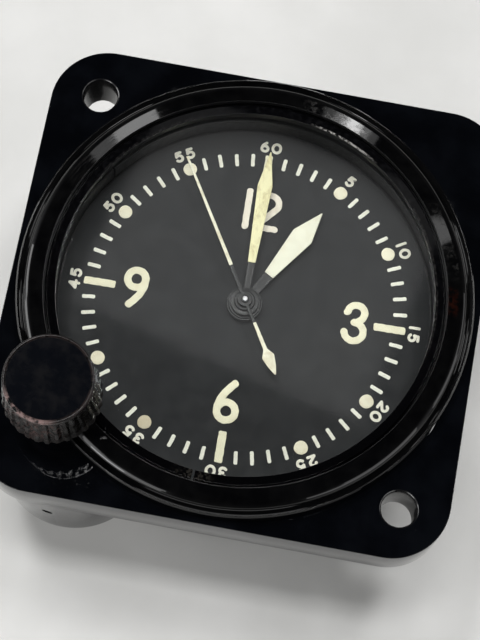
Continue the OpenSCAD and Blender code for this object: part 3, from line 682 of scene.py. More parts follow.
def knob_material():
    k = Mat("knob_black")
    cx, cy = STEM
    r, a, z = k.radius(cx, cy), k.angle(cx, cy), k.xyz[2]
    smudge = k.noise(0.45, 5, 0.6)
    fine = k.noise(5.0, 5, 0.7)
    lump = k.noise(1.5, 5, 0.7, 0.8)
    top = k.mul(k.step(z, 22.06, 22.14), k.step(r, 4.95, 5.10, 1.0, 0.0))
    side = k.step(z, 21.75, 21.95, 1.0, 0.0)
    rim = k.mul(k.math("SUBTRACT", 1.0, side), k.math("SUBTRACT", 1.0, top))
    lower_left = k.near(a, -128, 42, 34)
    cb = k.add("ShaderNodeCombineXYZ")
    k.put(cb.inputs[0], k.mul(a, 0.13))
    k.put(cb.inputs[1], k.mul(z, 0.55))
    k.put(cb.inputs[2], r)
    streak = k.noise(1.0, 5, 0.7, 1.2, vec=cb.outputs[0])
    brown = k.mul(side, lower_left, k.step(streak, 0.47, 0.62), k.step(z, 15.5, 18.5, 0.35, 1.0))
    # pale pink spots on the brown residue of the lower-left side: painted highlight on real residue
    pale = k.mul(brown, k.step(k.noise(1.9, 5, 0.75, 0.6), 0.54, 0.66))
    # rubbed rim, lightest at the lower left where the rim catches the light: partly real wear, partly painted highlight
    worn = k.mul(rim, k.step(k.noise(1.1, 4), 0.40, 0.58), k.math("MULTIPLY_ADD", k.near(a, -114, 24, 24), 0.85, 0.05))
    dust = k.specks(1.1, 0.055, 0.16)
    base = k.mix(k.step(smudge, 0.42, 0.72), (0.0022, 0.0026, 0.0038), (0.0050, 0.0050, 0.0058))
    base = k.mix(k.math("MAXIMUM", side, rim), base, (0.0020, 0.0017, 0.0017))
    base = k.mix(k.mul(brown, 0.8), base, (0.038, 0.014, 0.012))
    base = k.mix(k.mul(pale, 0.7), base, (0.18, 0.11, 0.10))
    base = k.mix(k.mul(worn, 0.8), base, (0.25, 0.17, 0.16))
    base = k.mix(k.mul(dust, side, k.near(a, -40, 34, 16), 0.45), base, (0.10, 0.10, 0.10))
    base = k.mix(k.mul(k.specks(2.6, 0.055, 0.10), top, 0.6), base, (0.22, 0.22, 0.22))
    rough = k.math("ADD", k.step(smudge, 0.3, 0.7, 0.055, 0.085), k.mul(side, 0.17))
    rough = k.math("ADD", rough, k.mul(brown, 0.12))
    rough = k.math("ADD", rough, k.mul(k.step(z, KNOB_LOW + 0.5, KNOB_LOW + 1.6, 1.0, 0.0), 0.30))
    rough = k.math("ADD", rough, k.mul(rim, 0.12))
    h = k.math("ADD", k.mul(fine, k.math("MULTIPLY_ADD", side, 0.25, 0.004)), k.mul(lump, k.math("MULTIPLY_ADD", side, 2.2, 0.003)))
    return k.surface(base, rough, normal=k.bump(h, 0.28, 0.11), IOR=1.22)


def rubber_material():
    k = Mat("rubber_black")
    n = k.noise(5.0, 4)
    return k.surface(k.mix(n, (0.010, 0.010, 0.010), (0.025, 0.024, 0.023)), k.step(n, 0.3, 0.7, 0.6, 0.78), normal=k.bump(n, 0.3, 0.03), IOR=1.45)


def glass_material():
    k = Mat("glass_clear")
    smear = k.noise(0.25, 5, 0.6, 0.5)
    lines = k.step(k.noise(0.9, 2, 0.5, vec=k.stretched(0.4, 5.0, 1.0)), 0.72, 0.76)
    rough = k.math("ADD", k.step(smear, 0.40, 0.75, 0.048, 0.066), k.mul(lines, 0.02))
    lw = k.add("ShaderNodeLayerWeight")
    lw.inputs["Blend"].default_value = 0.5
    fr = k.math("MULTIPLY_ADD", k.math("POWER", lw.outputs["Facing"], 5.0), 0.96, 0.04)
    t = k.add("ShaderNodeBsdfTransparent")
    t.inputs["Color"].default_value = (0.985, 0.992, 0.988, 1)
    g = k.add("ShaderNodeBsdfGlossy")
    g.inputs["Color"].default_value = (1, 1, 1, 1)
    k.put(g.inputs["Roughness"], rough)
    mx = k.add("ShaderNodeMixShader")
    k.link(fr, mx.inputs[0])
    k.link(t.outputs[0], mx.inputs[1])
    k.link(g.outputs[0], mx.inputs[2])
    k.link(mx.outputs[0], k.out.inputs["Surface"])
    return k.m


def metal_material(name, c0, c1, r0, r1, brush=(1.0, 6.0, 1.0), stain=None, stain_amount=0.0, circular=False):
    k = Mat(name)
    if circular:
        line = k.noise(6.0, 3, 0.6, vec=k.stretched(*brush))
        swirl = k.math("SINE", k.mul(k.radius(), 38.0))
        lines = k.math("MULTIPLY_ADD", swirl, 0.12, line)
    else:
        lines = k.noise(4.0, 3, 0.6, vec=k.stretched(*brush))
    cloud = k.noise(0.5, 4)
    base = k.mix(cloud, c0, c1)
    if stain:
        base = k.mix(k.mul(k.step(k.noise(0.9, 5, 0.65), 0.52, 0.7), stain_amount), base, stain)
    return k.surface(base, k.math("ADD", k.step(cloud, 0.3, 0.7, r0, r1), k.mul(lines, 0.06)), metallic=1.0, normal=k.bump(lines, 0.10, 0.01))


def ruby_material():
    k = Mat("ruby_red")
    n = k.noise(3.0, 3)
    return k.surface(k.mix(n, (0.30, 0.006, 0.020), (0.50, 0.015, 0.045)), k.step(n, 0.3, 0.7, 0.04, 0.10), IOR=1.76, Transmission_Weight=0.25)


M_CASE, M_COLLAR, M_CUT = case_material(), collar_material(), hole_material()
M_RING, M_REFL, M_DIAL = ring_material(), reflector_material(), dial_material()
M_HAND, M_KNOB, M_RUBBER, M_GLASS = paint_black_material(), knob_material(), rubber_material(), glass_material()
M_BRASS = metal_material("brass_plate", (0.50, 0.34, 0.13), (0.62, 0.44, 0.19), 0.20, 0.32, (1.0, 8.0, 1.0), (0.28, 0.16, 0.06), 0.35)
M_WHEEL = metal_material("brass_wheel", (0.62, 0.44, 0.17), (0.74, 0.54, 0.24), 0.16, 0.26, (5.0, 5.0, 1.0), (0.35, 0.20, 0.08), 0.2)
M_STEEL = metal_material("steel_polished", (0.46, 0.46, 0.47), (0.58, 0.58, 0.58), 0.14, 0.26, (1.0, 6.0, 1.0), (0.22, 0.20, 0.18), 0.25)
M_BLUE = metal_material("steel_blued", (0.020, 0.045, 0.16), (0.040, 0.080, 0.26), 0.14, 0.24, (6.0, 1.0, 1.0))
M_SPRING = metal_material("steel_spring", (0.34, 0.35, 0.37), (0.46, 0.46, 0.48), 0.18, 0.30, (1.0, 1.0, 5.0))
M_RUBY = ruby_material()

L_HOUR = lume_material("lume_hour", (0.90, 0.885, 0.72), (0.72, 0.60, 0.32), 0.14, (3, 5, 1))
L_MIN = lume_material("lume_minute", (0.92, 0.87, 0.54), (0.46, 0.36, 0.13), 0.55, (1, 2, 3), stretch=(1.6, 0.6, 1.0))
L_SEC = lume_material("lume_second", (0.91, 0.88, 0.70), (0.46, 0.34, 0.14), 0.42, (9, 2, 5))
L_TWELVE = lume_material("lume_twelve", (0.93, 0.86, 0.72), (0.58, 0.50, 0.36), 0.35, (4, 1, 8))
L_NUM = lume_material("lume_numerals", (0.93, 0.89, 0.66), (0.66, 0.54, 0.30), 0.22, (7, 3, 2))
L_DOT = lume_material("lume_dots", (0.92, 0.87, 0.67), (0.64, 0.53, 0.32), 0.32, (2, 8, 4), aged=(-13.0, -17.5, 3.0, 11.0))
L_TICK = lume_material("paint_ticks", (0.91, 0.90, 0.78), (0.60, 0.54, 0.38), 0.22, (5, 5, 5))
L_SMALL = lume_material("paint_numbers", (0.91, 0.88, 0.75), (0.50, 0.45, 0.34), 0.28, (6, 1, 3))

# ------------------------------------------------------------------ materials of the carried-over solids
FINISH = {
    M_BRASS: "front_plate back_plate plate_pillars balance_cock pallet_cock setting_bridge stem_cover barrel_cover",
    M_WHEEL: "barrel intermediate_wheel centre_wheel third_wheel fourth_wheel minute_wheel hour_wheel setting_wheel balance_wheel",
    M_STEEL: "rear_screws movement_screws barrel_arbor ratchet_wheel click centre_arbor fourth_arbor cannon_pinion third_pinion intermediate_pinion escape_wheel escape_pinion pallet_lever balance_staff regulator winding_wheel wheel_studs knob_set_screw stem winding_pinion stem_bushing setting_yoke yoke_post",
    M_BLUE: "plate_screws ratchet_screw hairspring",
    M_SPRING: "mainspring click_spring",
    M_RUBY: "jewels pallet_stones",
    M_RUBBER: "rear_gasket glass_gasket stem_seal",
    M_DIAL: "dial",
}
for m, names in FINISH.items():
    for n in names.split():
        for s in NODES[n].material_slots:
            s.material = m

# ------------------------------------------------------------------ case
c = 0.13
loops = []
for k in range(6):
    t = math.pi / 2 * k / 5
    loops.append(square_loop(FW, FR, 0.3 * (1 - math.sin(t)), 0.3 * (1 - math.cos(t))))
for k in range(7):
    t = math.pi / 2 * k / 6
    loops.append(square_loop(FW, FR, c * (1 - math.cos(t)), FT - c + c * math.sin(t)))
case = link("case_shell", mesh_of(stack(loops), "case_shell"))
shoulder = [(26.83 + 1.37 * math.sin(math.radians(t)), 8.56 + 1.37 * math.cos(math.radians(t))) for t in (79.5, 73, 66, 58, 50, 43, 36, 30, 24, 18.5, 13, 7.5)]
collar = rounded([(19.0, 6.2), (29.02, 6.2), (29.02, 8.80), (28.84, 9.12), (28.25, 8.80)], [0, 0, 0.08, 0.06, 0], 5)
collar += shoulder + rounded([(26.9, 9.934), (25.5, 10.118), (25.5, 9.3), (25.6, 9.22)], [0, 0.007, 0.02, 0], 2)[1:] + [(25.6, 9.0), (19.0, 9.0)]
boolean(case, lathe(hold(collar), 256), "UNION")
boolean(case, lathe(disc_profile(BODY_R, -BODY_D + 2, 0.5, 0.12, 0), 192), "UNION")
boolean(case, lathe(disc_profile(LOBE_R, -LOBE_D, 0.6, 0.9, 0, 6), 128, LOBE), "UNION")
boolean(case, lathe(disc_profile(3.0, 6.1, 10.0, 0, 0.3), 72, STEM), "UNION")
# stepped bore, snap ring groove, movement room with its lugs and bosses
bore = [(0, -30), (23.6, -30), (23.6, -2), (24.1, -2), (24.1, 2), (25.6, 2), (25.6, 8.5), (26.05, 8.5), (26.05, 9.2), (25.6, 9.2), (25.6, 9.23), (25.5, 9.30), (25.5, 13), (0, 13)]
cut = link("bore", mesh_of(lathe(bore, 256), "bore"))
for p in LUGS:
    boolean(cut, lathe(disc_profile(2.4, -9, -3), 40, p), "DIFFERENCE")
for p in BOSSES:
    boolean(cut, lathe(disc_profile(2.1, -22.4, -16.5), 40, p), "DIFFERENCE")
bm = bmesh.new()
bm.from_mesh(cut.data)
cm = cut.data
bpy.data.objects.remove(cut)
bpy.data.meshes.remove(cm)
boolean(case, bm, "DIFFERENCE")
boolean(case, lathe(disc_profile(8.6, -13.5, 1.2), 96, LOBE), "DIFFERENCE")
boolean(case, lathe(disc_profile(3.6, -LOBE_D - 1, -13), 64, STEM), "DIFFERENCE")
boolean(case, lathe([(0, 0), (2.1, 0), (2.1, 9.0), (2.5, 9.0), (2.5, 12), (0, 12)], 64, STEM), "DIFFERENCE")
for s in (-1, 1):
    boolean(case, lathe([(0, -1), (HOLE + 0.16, -1), (HOLE + 0.16, 0), (HOLE, 0.16), (HOLE, FT - 0.2), (HOLE + 0.06, FT - 0.08), (HOLE + 0.2, FT), (HOLE + 0.2, FT + 1), (0, FT + 1)], 72, (s * PITCH / 2, -s * PITCH / 2)), "DIFFERENCE")
for p in LUGS:
    boolean(case, lathe(disc_profile(0.7, -7.5, -1), 24, p), "DIFFERENCE")
for p in BOSSES:
    boolean(case, lathe(disc_profile(0.8, -24, -18.5), 24, p), "DIFFERENCE")
# vent slot in the bulge
vent = []
d = math.radians(-97.5)
for k in range(2):
    lp = []
    for cx, a in ((0.22, -90), (-0.22, 90)):
        for j in range(9):
            t = math.radians(a + 180 * j / 8)
            u, w = cx + 0.50 * math.cos(t), -5.53 + 0.66 * math.sin(t)
            r = LOBE_R - 0.9 + 3 * k
            lp.append((LOBE[0] + r * math.cos(d) - u * math.sin(d), LOBE[1] + r * math.sin(d) + u * math.cos(d), w))
    vent.append(lp)
boolean(case, stack(vent), "DIFFERENCE")
for p in case.data.polygons:
    x, y, z = p.center
    rr = math.hypot(x, y)
    in_hole = any(math.hypot(x - s * PITCH / 2, y + s * PITCH / 2) < HOLE + 0.3 for s in (-1, 1))
    p.material_index = 1 if z > 7.02 and rr > 25.0 else (2 if in_hole and abs(p.normal.z) < 0.95 else 0)
piece(case, [M_CASE, M_COLLAR, M_CUT], "case", ["case"], flat_area=0.0)

# ------------------------------------------------------------------ rear cover
o = link("rear_cover_shell", mesh_of(lathe(rounded([(0, -24.7), (18.4, -24.7), (18.6, -25.0), (BODY_R, -25.0), (BODY_R, -23.4), (23.3, -23.4), (23.3, -22.4), (20.3, -22.4), (20.3, -23.3), (0, -23.3)], [0, 0.06, 0.10, 0.45, 0.10, 0, 0.2, 0.1, 0, 0], 5), 192), "rear_cover_shell"))
for p in BOSSES:
    boolean(o, lathe([(0, -26), (1.75, -26), (1.75, -25), (1.7, -24.95), (1.7, -24.1), (0.9, -24.1), (0.9, -20), (0, -20)], 48, p), "DIFFERENCE")
piece(o, [M_CASE], "case", ["rear_cover"])

# ------------------------------------------------------------------ rings and glass
o = link("glass_retaining_ring", mesh_of(lathe(hold(rounded([(23.98, 8.55), (25.95, 8.55), (25.95, 9.12), (25.28, 9.12), (25.06, 9.50), (23.98, 9.50)], [0.05, 0.10, 0.10, 0.02, 0.009, 0.010], 3)), 240, a0=-94.66, a1=264.66), "glass_retaining_ring"))
piece(o, M_RING, "case", ["retaining_ring"])
o = link("dial_reflector_ring", mesh_of(lathe(hold(rounded([(24.75, 2.85), (25.5, 2.85), (25.5, 6.1), (24.40, 6.1), (24.34, 5.9), (24.42, 3.15)], 0.05, 3)), 240, a0=REFLECTOR_GAP + 0.28, a1=REFLECTOR_GAP + 359.72), "dial_reflector_ring"))
piece(o, M_REFL, "case", ["reflector_ring"])
o = link("front_glass", mesh_of(lathe(disc_profile(25.4, 6.5, 8.5, 0.15, 0.15, 3), 192), "front_glass"))
piece(o, M_GLASS, "case", ["glass"])

# ------------------------------------------------------------------ dial marks
Z = 2.8


def marks(name, loops, height, bevel, mat, res=2):
    o = plate(name, loops, Z, Z + height, bevel, res, DIAL_TURN)
    return piece(o, mat, "case", angle=40, flat_area=1e9)


ticks = []
for i in range(60):
    if i % 5:
        j = math.sin(i * 12.9898) * 0.5
        ticks += tick_loops(19.32 + 0.05 * j, 21.08 + 0.06 * math.sin(i * 4.1), 0.50 + 0.03 * j, i * 6 + 0.12 * math.sin(i * 7.7), 0.18, 0.018, i, 0.035)
marks("minute_ticks", ticks, 0.07, 0.03, L_TICK)
bars = []
for i, w in ((0, 0.98), (15, 1.02), (30, 1.06), (45, 1.0)):
    bars += tick_loops(16.92, 21.05, w, i * 6, 0.22, 0.03, i + 3)
marks("quarter_bars", bars, 0.13, 0.06, L_NUM, 3)
dots = []
for i in (5, 10, 20, 25, 35, 40, 50, 55):
    dots += dot_loops(20.1, i * 6, 0.90 + 0.015 * math.sin(i), i)
marks("five_minute_dots", dots, 0.14, 0.06, L_DOT, 3)
numbers = []
for i in range(5, 65, 5):
    numbers += stroke_loops(small_number(str(i), i * 6), 0.188, 0.015, i, 0.03)
marks("minute_numbers", numbers, 0.06, 0.02, L_SMALL, 1)
twelve = stroke_loops([[(-1.73, 15.72), (-1.68, 10.78)]], 0.435, 0.03, 1)
twelve += stroke_loops([arc(1.15, 14.37, 1.15, 1.15, 168, -36) + [(1.0, 12.48), (-0.30, 11.06), (-0.28, 10.92), (2.24, 10.90)]], 0.43, 0.03, 2)
marks("numeral_12", twelve, 0.13, 0.06, L_TWELVE, 3)
three = stroke_loops([[(13.28, 1.39)] + arc(14.47, 1.38, 1.09, 1.09, 172, -62) + [(14.72, 0.14), (14.34, 0.11)],
                      [(14.34, 0.11)] + arc(14.46, -1.13, 1.23, 1.23, 84, -172) + [(13.22, -1.43)]], 0.47, 0.03, 3)
nine = stroke_loops([arc(-14.33, 1.23, 1.175, 1.175, 0, 360), spline([(-13.16, 1.15), (-13.22, 0.30), (-13.62, -0.72), (-14.18, -1.58), (-14.8, -2.3)])], 0.485, 0.03, 4)
six = stroke_loops([arc(-0.09, -14.28, 1.18, 1.18, 0, 360), spline([(-1.26, -14.2), (-1.18, -13.32), (-0.76, -12.26), (-0.18, -11.38), (0.5, -10.55)])], 0.49, 0.03, 5)
marks("numerals_3_6_9", three + nine + six, 0.13, 0.06, L_NUM, 3)


# ------------------------------------------------------------------ hands
def ring_loops(r, bore=None, n=72):
    out = [[(r * math.cos(2 * math.pi * k / n), r * math.sin(2 * math.pi * k / n)) for k in range(n)]]
    if bore:
        out.append([(bore * math.cos(2 * math.pi * k / n), bore * math.sin(2 * math.pi * k / n)) for k in range(n)])
    return out


def leaf(q, radii, n=5):
    """Outline of a leaf from [distance, half width] pairs, pointing to twelve."""
    pts = [(w, r) for r, w in q] + [(-w, r) for r, w in reversed(q)]
    rad = list(radii) + list(reversed(radii))
    return rounded(pts, rad, n)


def union_loops(fns, box, h=0.04):
    """Outline of the union of several distance fields."""
    def f(X, Y):
        d = fns[0](X, Y)
        for g in fns[1:]:
            d = np.minimum(d, g(X, Y))
        return d
    return contour(f, box, h)


def poly_sdf(pts):
    P = [np.array(p, float) for p in pts]

    def f(X, Y):
        d = np.full(X.shape, 1e9)
        ins = np.zeros(X.shape, bool)
        for a, b in zip(P, P[1:] + P[:1]):
            ab = b - a
            t = np.clip(((X - a[0]) * ab[0] + (Y - a[1]) * ab[1]) / max(ab @ ab, 1e-12), 0, 1)
            d = np.minimum(d, np.hypot(X - a[0] - t * ab[0], Y - a[1] - t * ab[1]))
            c1 = (a[1] > Y) != (b[1] > Y)
            with np.errstate(divide="ignore", invalid="ignore"):
                xi = (b[0] - a[0]) * (Y - a[1]) / (b[1] - a[1] if b[1] != a[1] else 1e-12) + a[0]
            ins ^= c1 & (X < xi)
        return np.where(ins, -d, d)
    return f


def disc_sdf(r, c=(0, 0)):
    return lambda X, Y: np.hypot(X - c[0], Y - c[1]) - r


def hand(name, leaf_pts, hub, bore, z0, z1, turn, box):
    lp = union_loops([poly_sdf(leaf_pts), disc_sdf(hub)], box)
    lp += ring_loops(bore, n=48)
    return plate(name, lp, z0, z1, 0.045, 2, -turn)


# hour hand
o = hand("hour_hand_plate", leaf([(1.9, 0.56), (4.7, 0.72), (11.9, 1.54), (16.08, 0.05)], [0, 0, 0.2, 0.03]), 2.3, 1.5, 3.6, 3.86, HOUR_A, (-2.6, -2.6, 2.6, 16.3))
boolean(o, lathe(rounded([(1.5, 3.1), (1.9, 3.1), (1.9, 3.7), (1.5, 3.7)], 0.04, 2), 72), "UNION")
boolean(o, lathe(rounded([(1.5, 3.8), (2.12, 3.8), (2.08, 4.06), (1.5, 4.06)], [0, 0, 0.08, 0.06], 4), 96), "UNION")
piece(o, M_HAND, "hour_hand", ["hour_hand"])
o = plate("hour_hand_lume", [leaf([(4.95, 0.69), (11.9, 1.50), (15.98, 0.06)], [0.08, 0.25, 0.05])], 3.83, 4.02, 0.07, 3, -HOUR_A)
piece(o, L_HOUR, "hour_hand", angle=40, flat_area=1e9)
# minute hand
o = hand("minute_hand_plate", leaf([(1.5, 0.42), (5.1, 0.47), (16, 0.96), (20.86, 0.05)], [0, 0, 0.3, 0.03]), 1.85, 0.9, 4.5, 4.76, MINUTE_A, (-2.2, -2.2, 2.2, 21.2))
boolean(o, lathe(rounded([(0.9, 4.2), (1.3, 4.2), (1.3, 4.6), (0.9, 4.6)], 0.04, 2), 64), "UNION")
boolean(o, lathe(rounded([(0.9, 4.7), (1.35, 4.7), (1.32, 5.12), (0.9, 5.12)], [0, 0, 0.12, 0.06], 4), 80), "UNION")
piece(o, M_HAND, "minute_hand", ["minute_hand"])
o = plate("minute_hand_lume", [leaf([(5.3, 0.49), (16, 0.98), (20.8, 0.07)], [0.06, 0.4, 0.05])], 4.73, 4.93, 0.07, 3, -MINUTE_A)
piece(o, L_MIN, "minute_hand", angle=40, flat_area=1e9)
# seconds hand
tail = [(0.20, -0.3), (0.22, -7.2), (0.80, -8.1), (0.5, -9.5), (0.08, -10.68), (-0.08, -10.68), (-0.5, -9.5), (-0.80, -8.1), (-0.22, -7.2), (-0.20, -0.3)]
lp = union_loops([poly_sdf([(0.22, 0.3), (0.22, 4.9), (0.14, 20.9), (-0.14, 20.9), (-0.22, 4.9), (-0.22, 0.3)]), poly_sdf(tail), disc_sdf(0.92)], (-1.3, -11.0, 1.3, 21.2), 0.035)
o = plate("second_hand_plate", lp + ring_loops(0.3, n=40), 5.45, 5.64, 0.04, 2, -SECOND_A)
boolean(o, lathe(rounded([(0.3, 5.2), (0.62, 5.2), (0.62, 5.5), (0.3, 5.5)], 0.03, 2), 48), "UNION")
boolean(o, lathe(rounded([(0.3, 5.6), (0.5, 5.6), (0.5, 5.88), (0.3, 5.88)], [0, 0, 0.08, 0.04], 4), 48), "UNION")
piece(o, M_HAND, "second_hand", ["second_hand"])
lume = [stroke for stroke in (
    rounded([(0.235, 4.9), (0.15, 20.93), (-0.15, 20.93), (-0.235, 4.9)], [0.08, 0.10, 0.10, 0.08], 4),
    rounded([(0.20, -3.35), (0.26, -7.15), (0.82, -8.15), (0.52, -9.55), (0.09, -10.7), (-0.09, -10.7), (-0.52, -9.55), (-0.82, -8.15), (-0.26, -7.15), (-0.20, -3.35)], [0.08, 0.3, 0.25, 0.3, 0.07, 0.07, 0.3, 0.25, 0.3, 0.08], 5))]
o = plate("second_hand_lume", lume, 5.62, 5.76, 0.05, 3, -SECOND_A)
piece(o, L_SEC, "second_hand", angle=40, flat_area=1e9)

# ------------------------------------------------------------------ knob
bm = bmesh.new()
cols = RIBS * 12
rows = []


def rib(t):
    """0 on a rib's crest, 1 in the groove."""
    u = (t * RIBS / (2 * math.pi)) % 1.0
    w = 0.5 - 0.5 * math.cos(2 * math.pi * u)
    return max(0.0, min(1.0, (w - 0.30) / 0.5)) ** 0.8


def flare(z):
    return KNOB_SKIRT + (KNOB_R - KNOB_SKIRT) * (z - KNOB_LOW) / (KNOB_Z1 - KNOB_LOW)


# (radius, height, depth of the grooves)
prof = [(1.6, KNOB_Z0, 0.0), (KNOB_HUB - 0.25, KNOB_Z0, 0.0), (KNOB_HUB - 0.06, KNOB_Z0 + 0.06, 0.0), (KNOB_HUB, KNOB_Z0 + 0.25, 0.0), (KNOB_HUB, KNOB_LOW - 0.2, 0.0), (KNOB_HUB + 0.15, KNOB_LOW, 0.0)]
prof += [(KNOB_SKIRT - 0.40, KNOB_LOW, 0.0), (KNOB_SKIRT - 0.05, KNOB_LOW + 0.012, 0.6), (KNOB_SKIRT - 0.012, KNOB_LOW + 0.05, 0.9)]
nz = 24
for k in range(nz + 1):
    z = KNOB_LOW + 0.36 + (KNOB_Z1 - 1.15 - KNOB_LOW - 0.36) * k / nz
    prof.append((flare(z), z, 1.0))
for dz, dep in ((0.98, 0.85), (0.82, 0.45), (0.70, 0.12), (0.60, 0.0)):
    prof.append((flare(KNOB_Z1 - dz), KNOB_Z1 - dz, dep))
for k in range(7):
    t = math.radians(15 * k)
    prof.append((KNOB_R + 0.02 - 0.18 * (1 - math.cos(t)), KNOB_Z1 - 0.18 + 0.18 * math.sin(t), 0.0))
prof += [(KNOB_R - 0.26, KNOB_Z1 - 0.01, 0.0), (KNOB_R - 0.38, KNOB_Z1 - 0.07, 0.0), (KNOB_R - 0.41, KNOB_Z1 - 0.08, 0.0)]
for r, z, dep in prof:
    row = []
    for j in range(cols):
        t = 2 * math.pi * j / cols
        i = math.floor(t * RIBS / (2 * math.pi) + 0.5)
        worn = 0.05 * (1 + math.sin(i * 5.3 + z * 0.55)) + 0.03 * math.sin(z * 2.1 + i * 2.7)
        rr = r - dep * (0.32 * (0.8 + 0.2 * math.sin(i * 3.1)) * rib(t) + worn * (1 - rib(t)))
        row.append(bm.verts.new((STEM[0] + rr * math.cos(t), STEM[1] + rr * math.sin(t), z)))
    rows.append(row)
for A, B in zip(rows, rows[1:]):
    for j in range(cols):
        bm.faces.new([A[j], A[(j + 1) % cols], B[(j + 1) % cols], B[j]])
bm.faces.new(rows[-1])
bm.faces.new(list(reversed(rows[0])))
o = link("knob_body", mesh_of(bm, "knob_body"))
boolean(o, lathe([(0, 9), (1.5, 9), (1.5, 19.8), (0, 19.8)], 48, STEM), "DIFFERENCE")
# hole of the set screw
d = math.radians(40)
loops = []
for r in (1.0, 5.0):
    loops.append([(STEM[0] + r * math.cos(d) - 0.56 * math.cos(2 * math.pi * j / 32) * math.sin(d), STEM[1] + r * math.sin(d) + 0.56 * math.cos(2 * math.pi * j / 32) * math.cos(d), 13.5 + 0.56 * math.sin(2 * math.pi * j / 32)) for j in range(32)])
boolean(o, stack(loops), "DIFFERENCE")
piece(o, M_KNOB, "knob", ["knob"], angle=50)

# ------------------------------------------------------------------ stage, camera, lights
bm = bmesh.new()
s = 3.0
N = 12
grid = [[bm.verts.new((-s + 2 * s * i / N, -s + 2 * s * j / N, -0.02502)) for j in range(N + 1)] for i in range(N + 1)]
for i in range(N):
    for j in range(N):
        bm.faces.new([grid[i][j], grid[i + 1][j], grid[i + 1][j + 1], grid[i][j + 1]])
floor = link("floor", mesh_of(bm, "floor"))
k = Mat("floor_pale")
k.surface(k.mix(k.step(k.noise(0.05, 4), 0.3, 0.7), (0.545, 0.543, 0.527), (0.595, 0.592, 0.577)), k.step(k.noise(0.08, 3), 0.3, 0.7, 0.45, 0.6), normal=k.bump(k.noise(1.5, 3), 0.05, 0.05), IOR=1.45)
floor.data.materials.append(k.m)

cam = bpy.data.cameras.new("camera")
cam.sensor_width, cam.sensor_fit, cam.lens = 36.0, "AUTO", 106.7636
cam.clip_start, cam.clip_end = 0.01, 20.0
co = link("camera", cam)
R = Matrix(((0.98353782, -0.17860769, 0.02743457), (0.17886566, 0.94066343, -0.28837371), (0.02569906, 0.28853355, 0.95712483)))
co.matrix_world = Matrix.Translation((0.00651746, -0.07266901, 0.23731065)) @ R.to_4x4()
sc.camera = co


def area(name, loc, power, size, size_y=None, shape="RECTANGLE", target=(0, 0, 0), colour=(1, 1, 1)):
    l = bpy.data.lights.new(name, "AREA")
    l.shape, l.size, l.size_y = shape, size, size_y or size
    l.energy, l.color = power, colour
    o = link(name, l)
    o.location = loc
    o.rotation_mode = "QUATERNION"
    o.rotation_quaternion = (Vector(target) - Vector(loc)).to_track_quat("-Z", "Y")
    return o


def at(d, dist):
    v = Vector(d).normalized() * dist
    return (v.x, v.y, v.z)


# broad soft light from above, in three pieces round the part of the room that the glass and the flange mirror
for name, x0, x1, y0, y1, power in (("above_front", -10.0, 8.0, 0.0, 6.2, 8.5), ("above_left", -19.6, -12.8, 8.5, 26.5, 8.8), ("above_right", 9.4, 16.0, 12.0, 26.0, 6.3)):
    q = [1.5 * math.tan(math.radians(v)) for v in (x0, x1, y0, y1)]
    area(name, ((q[0] + q[1]) / 2, (q[2] + q[3]) / 2, 1.5), power, q[1] - q[0], q[3] - q[2], target=((q[0] + q[1]) / 2, (q[2] + q[3]) / 2, 0))
area("window_left", (-1.40, 0.05, 0.46), 10.0, 0.9, 0.6)
area("window_right", (1.40, 0.25, 0.42), 2.6, 0.9, 0.45)
area("low_front_left", (-0.82, -1.31, 0.50), 7.5, 0.90, 0.80)
area("low_front_left_core", (-0.85, -1.13, 0.26), 3.0, 0.34, 0.36)
area("low_front_right", (1.13, -0.82, 0.56), 4.5, 1.10, 0.55)
# small cards for the marks on the crown of the collar
area("card_upper_left", at((-0.262, 0.534, 0.804), 0.9), 0.20, 0.075, 0.11)
area("card_upper_left_end", at((-0.310, 0.486, 0.816), 0.9), 0.026, 0.042, 0.10)
area("card_upper_right", at((0.1035, 0.6040, 0.790), 0.88), 0.17, 0.025, 0.10)
area("card_upper_right_mid", at((0.1010, 0.6042, 0.790), 0.89), 0.052, 0.060, 0.10)
area("card_upper_right_wide", at((0.0990, 0.6045, 0.790), 0.90), 0.045, 0.092, 0.10)
area("card_right", at((0.282, 0.450, 0.846), 0.9), 0.026, 0.045, 0.06)
# faint cards mirrored in the glass
for name, loc, power, sx_, sy_ in (("card_glass", (-0.0193, 0.3127, 0.90), 0.0358, 0.194, 0.156), ("card_glass_inner", (-0.0020, 0.3080, 0.90), 0.0200, 0.158, 0.130)):
    o = area(name, loc, power, sx_, sy_)
    o.rotation_quaternion = (math.cos(math.radians(-6.7)), 0, 0, math.sin(math.radians(-6.7)))

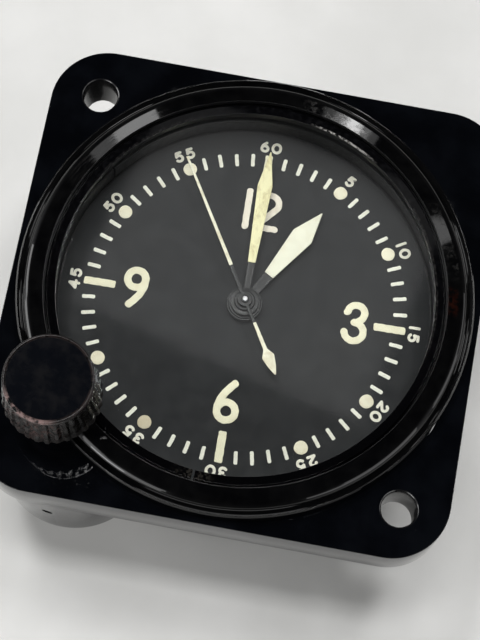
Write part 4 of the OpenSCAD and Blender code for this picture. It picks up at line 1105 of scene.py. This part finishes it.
w = bpy.data.worlds.new("world")
sc.world = w
w.use_nodes = True
t = w.node_tree
t.nodes.clear()
wo = t.nodes.new("ShaderNodeOutputWorld")
bg = t.nodes.new("ShaderNodeBackground")
tc = t.nodes.new("ShaderNodeTexCoord")
sx = t.nodes.new("ShaderNodeSeparateXYZ")
rp = t.nodes.new("ShaderNodeValToRGB")
t.links.new(tc.outputs["Generated"], sx.inputs[0])
t.links.new(sx.outputs[2], rp.inputs[0])
e = rp.color_ramp.elements
e[0].position, e[0].color = 0.0, (0.85, 0.85, 0.85, 1)
e[1].position, e[1].color = 1.0, (0.012, 0.013, 0.016, 1)
for p, v in ((0.30, 0.70), (0.55, 0.30), (0.72, 0.06), (0.88, 0.015)):
    q = e.new(p)
    q.color = (v, v, v * 1.02, 1)
# bright to the left and right, dark behind and where somebody stands in front
az = t.nodes.new("ShaderNodeMath")
az.operation = "ARCTAN2"
t.links.new(sx.outputs[1], az.inputs[0])
t.links.new(sx.outputs[0], az.inputs[1])
mr = t.nodes.new("ShaderNodeMapRange")
mr.inputs["From Min"].default_value, mr.inputs["From Max"].default_value = -math.pi, math.pi
t.links.new(az.outputs[0], mr.inputs["Value"])
r2 = t.nodes.new("ShaderNodeValToRGB")
t.links.new(mr.outputs["Result"], r2.inputs[0])
e = r2.color_ramp.elements
e[0].position, e[0].color = 0.0, (1, 1, 1, 1)
e[1].position, e[1].color = 1.0, (1, 1, 1, 1)
for p, v in ((-114, 1.0), (-102, 0.08), (-60, 0.08), (-48, 0.9), (8, 0.8), (30, 0.12), (140, 0.10), (158, 1.0)):
    q = e.new((p + 180) / 360)
    q.color = (v, v, v, 1)
mm = t.nodes.new("ShaderNodeMix")
mm.data_type, mm.blend_type = "RGBA", "MULTIPLY"
mm.inputs[0].default_value = 1.0
t.links.new(rp.outputs[0], mm.inputs[6])
t.links.new(r2.outputs[0], mm.inputs[7])
t.links.new(mm.outputs[2], bg.inputs["Color"])
bg.inputs["Strength"].default_value = 1.0
t.links.new(bg.outputs[0], wo.inputs["Surface"])

sc.view_settings.view_transform = "Standard"
sc.view_settings.look = "None"
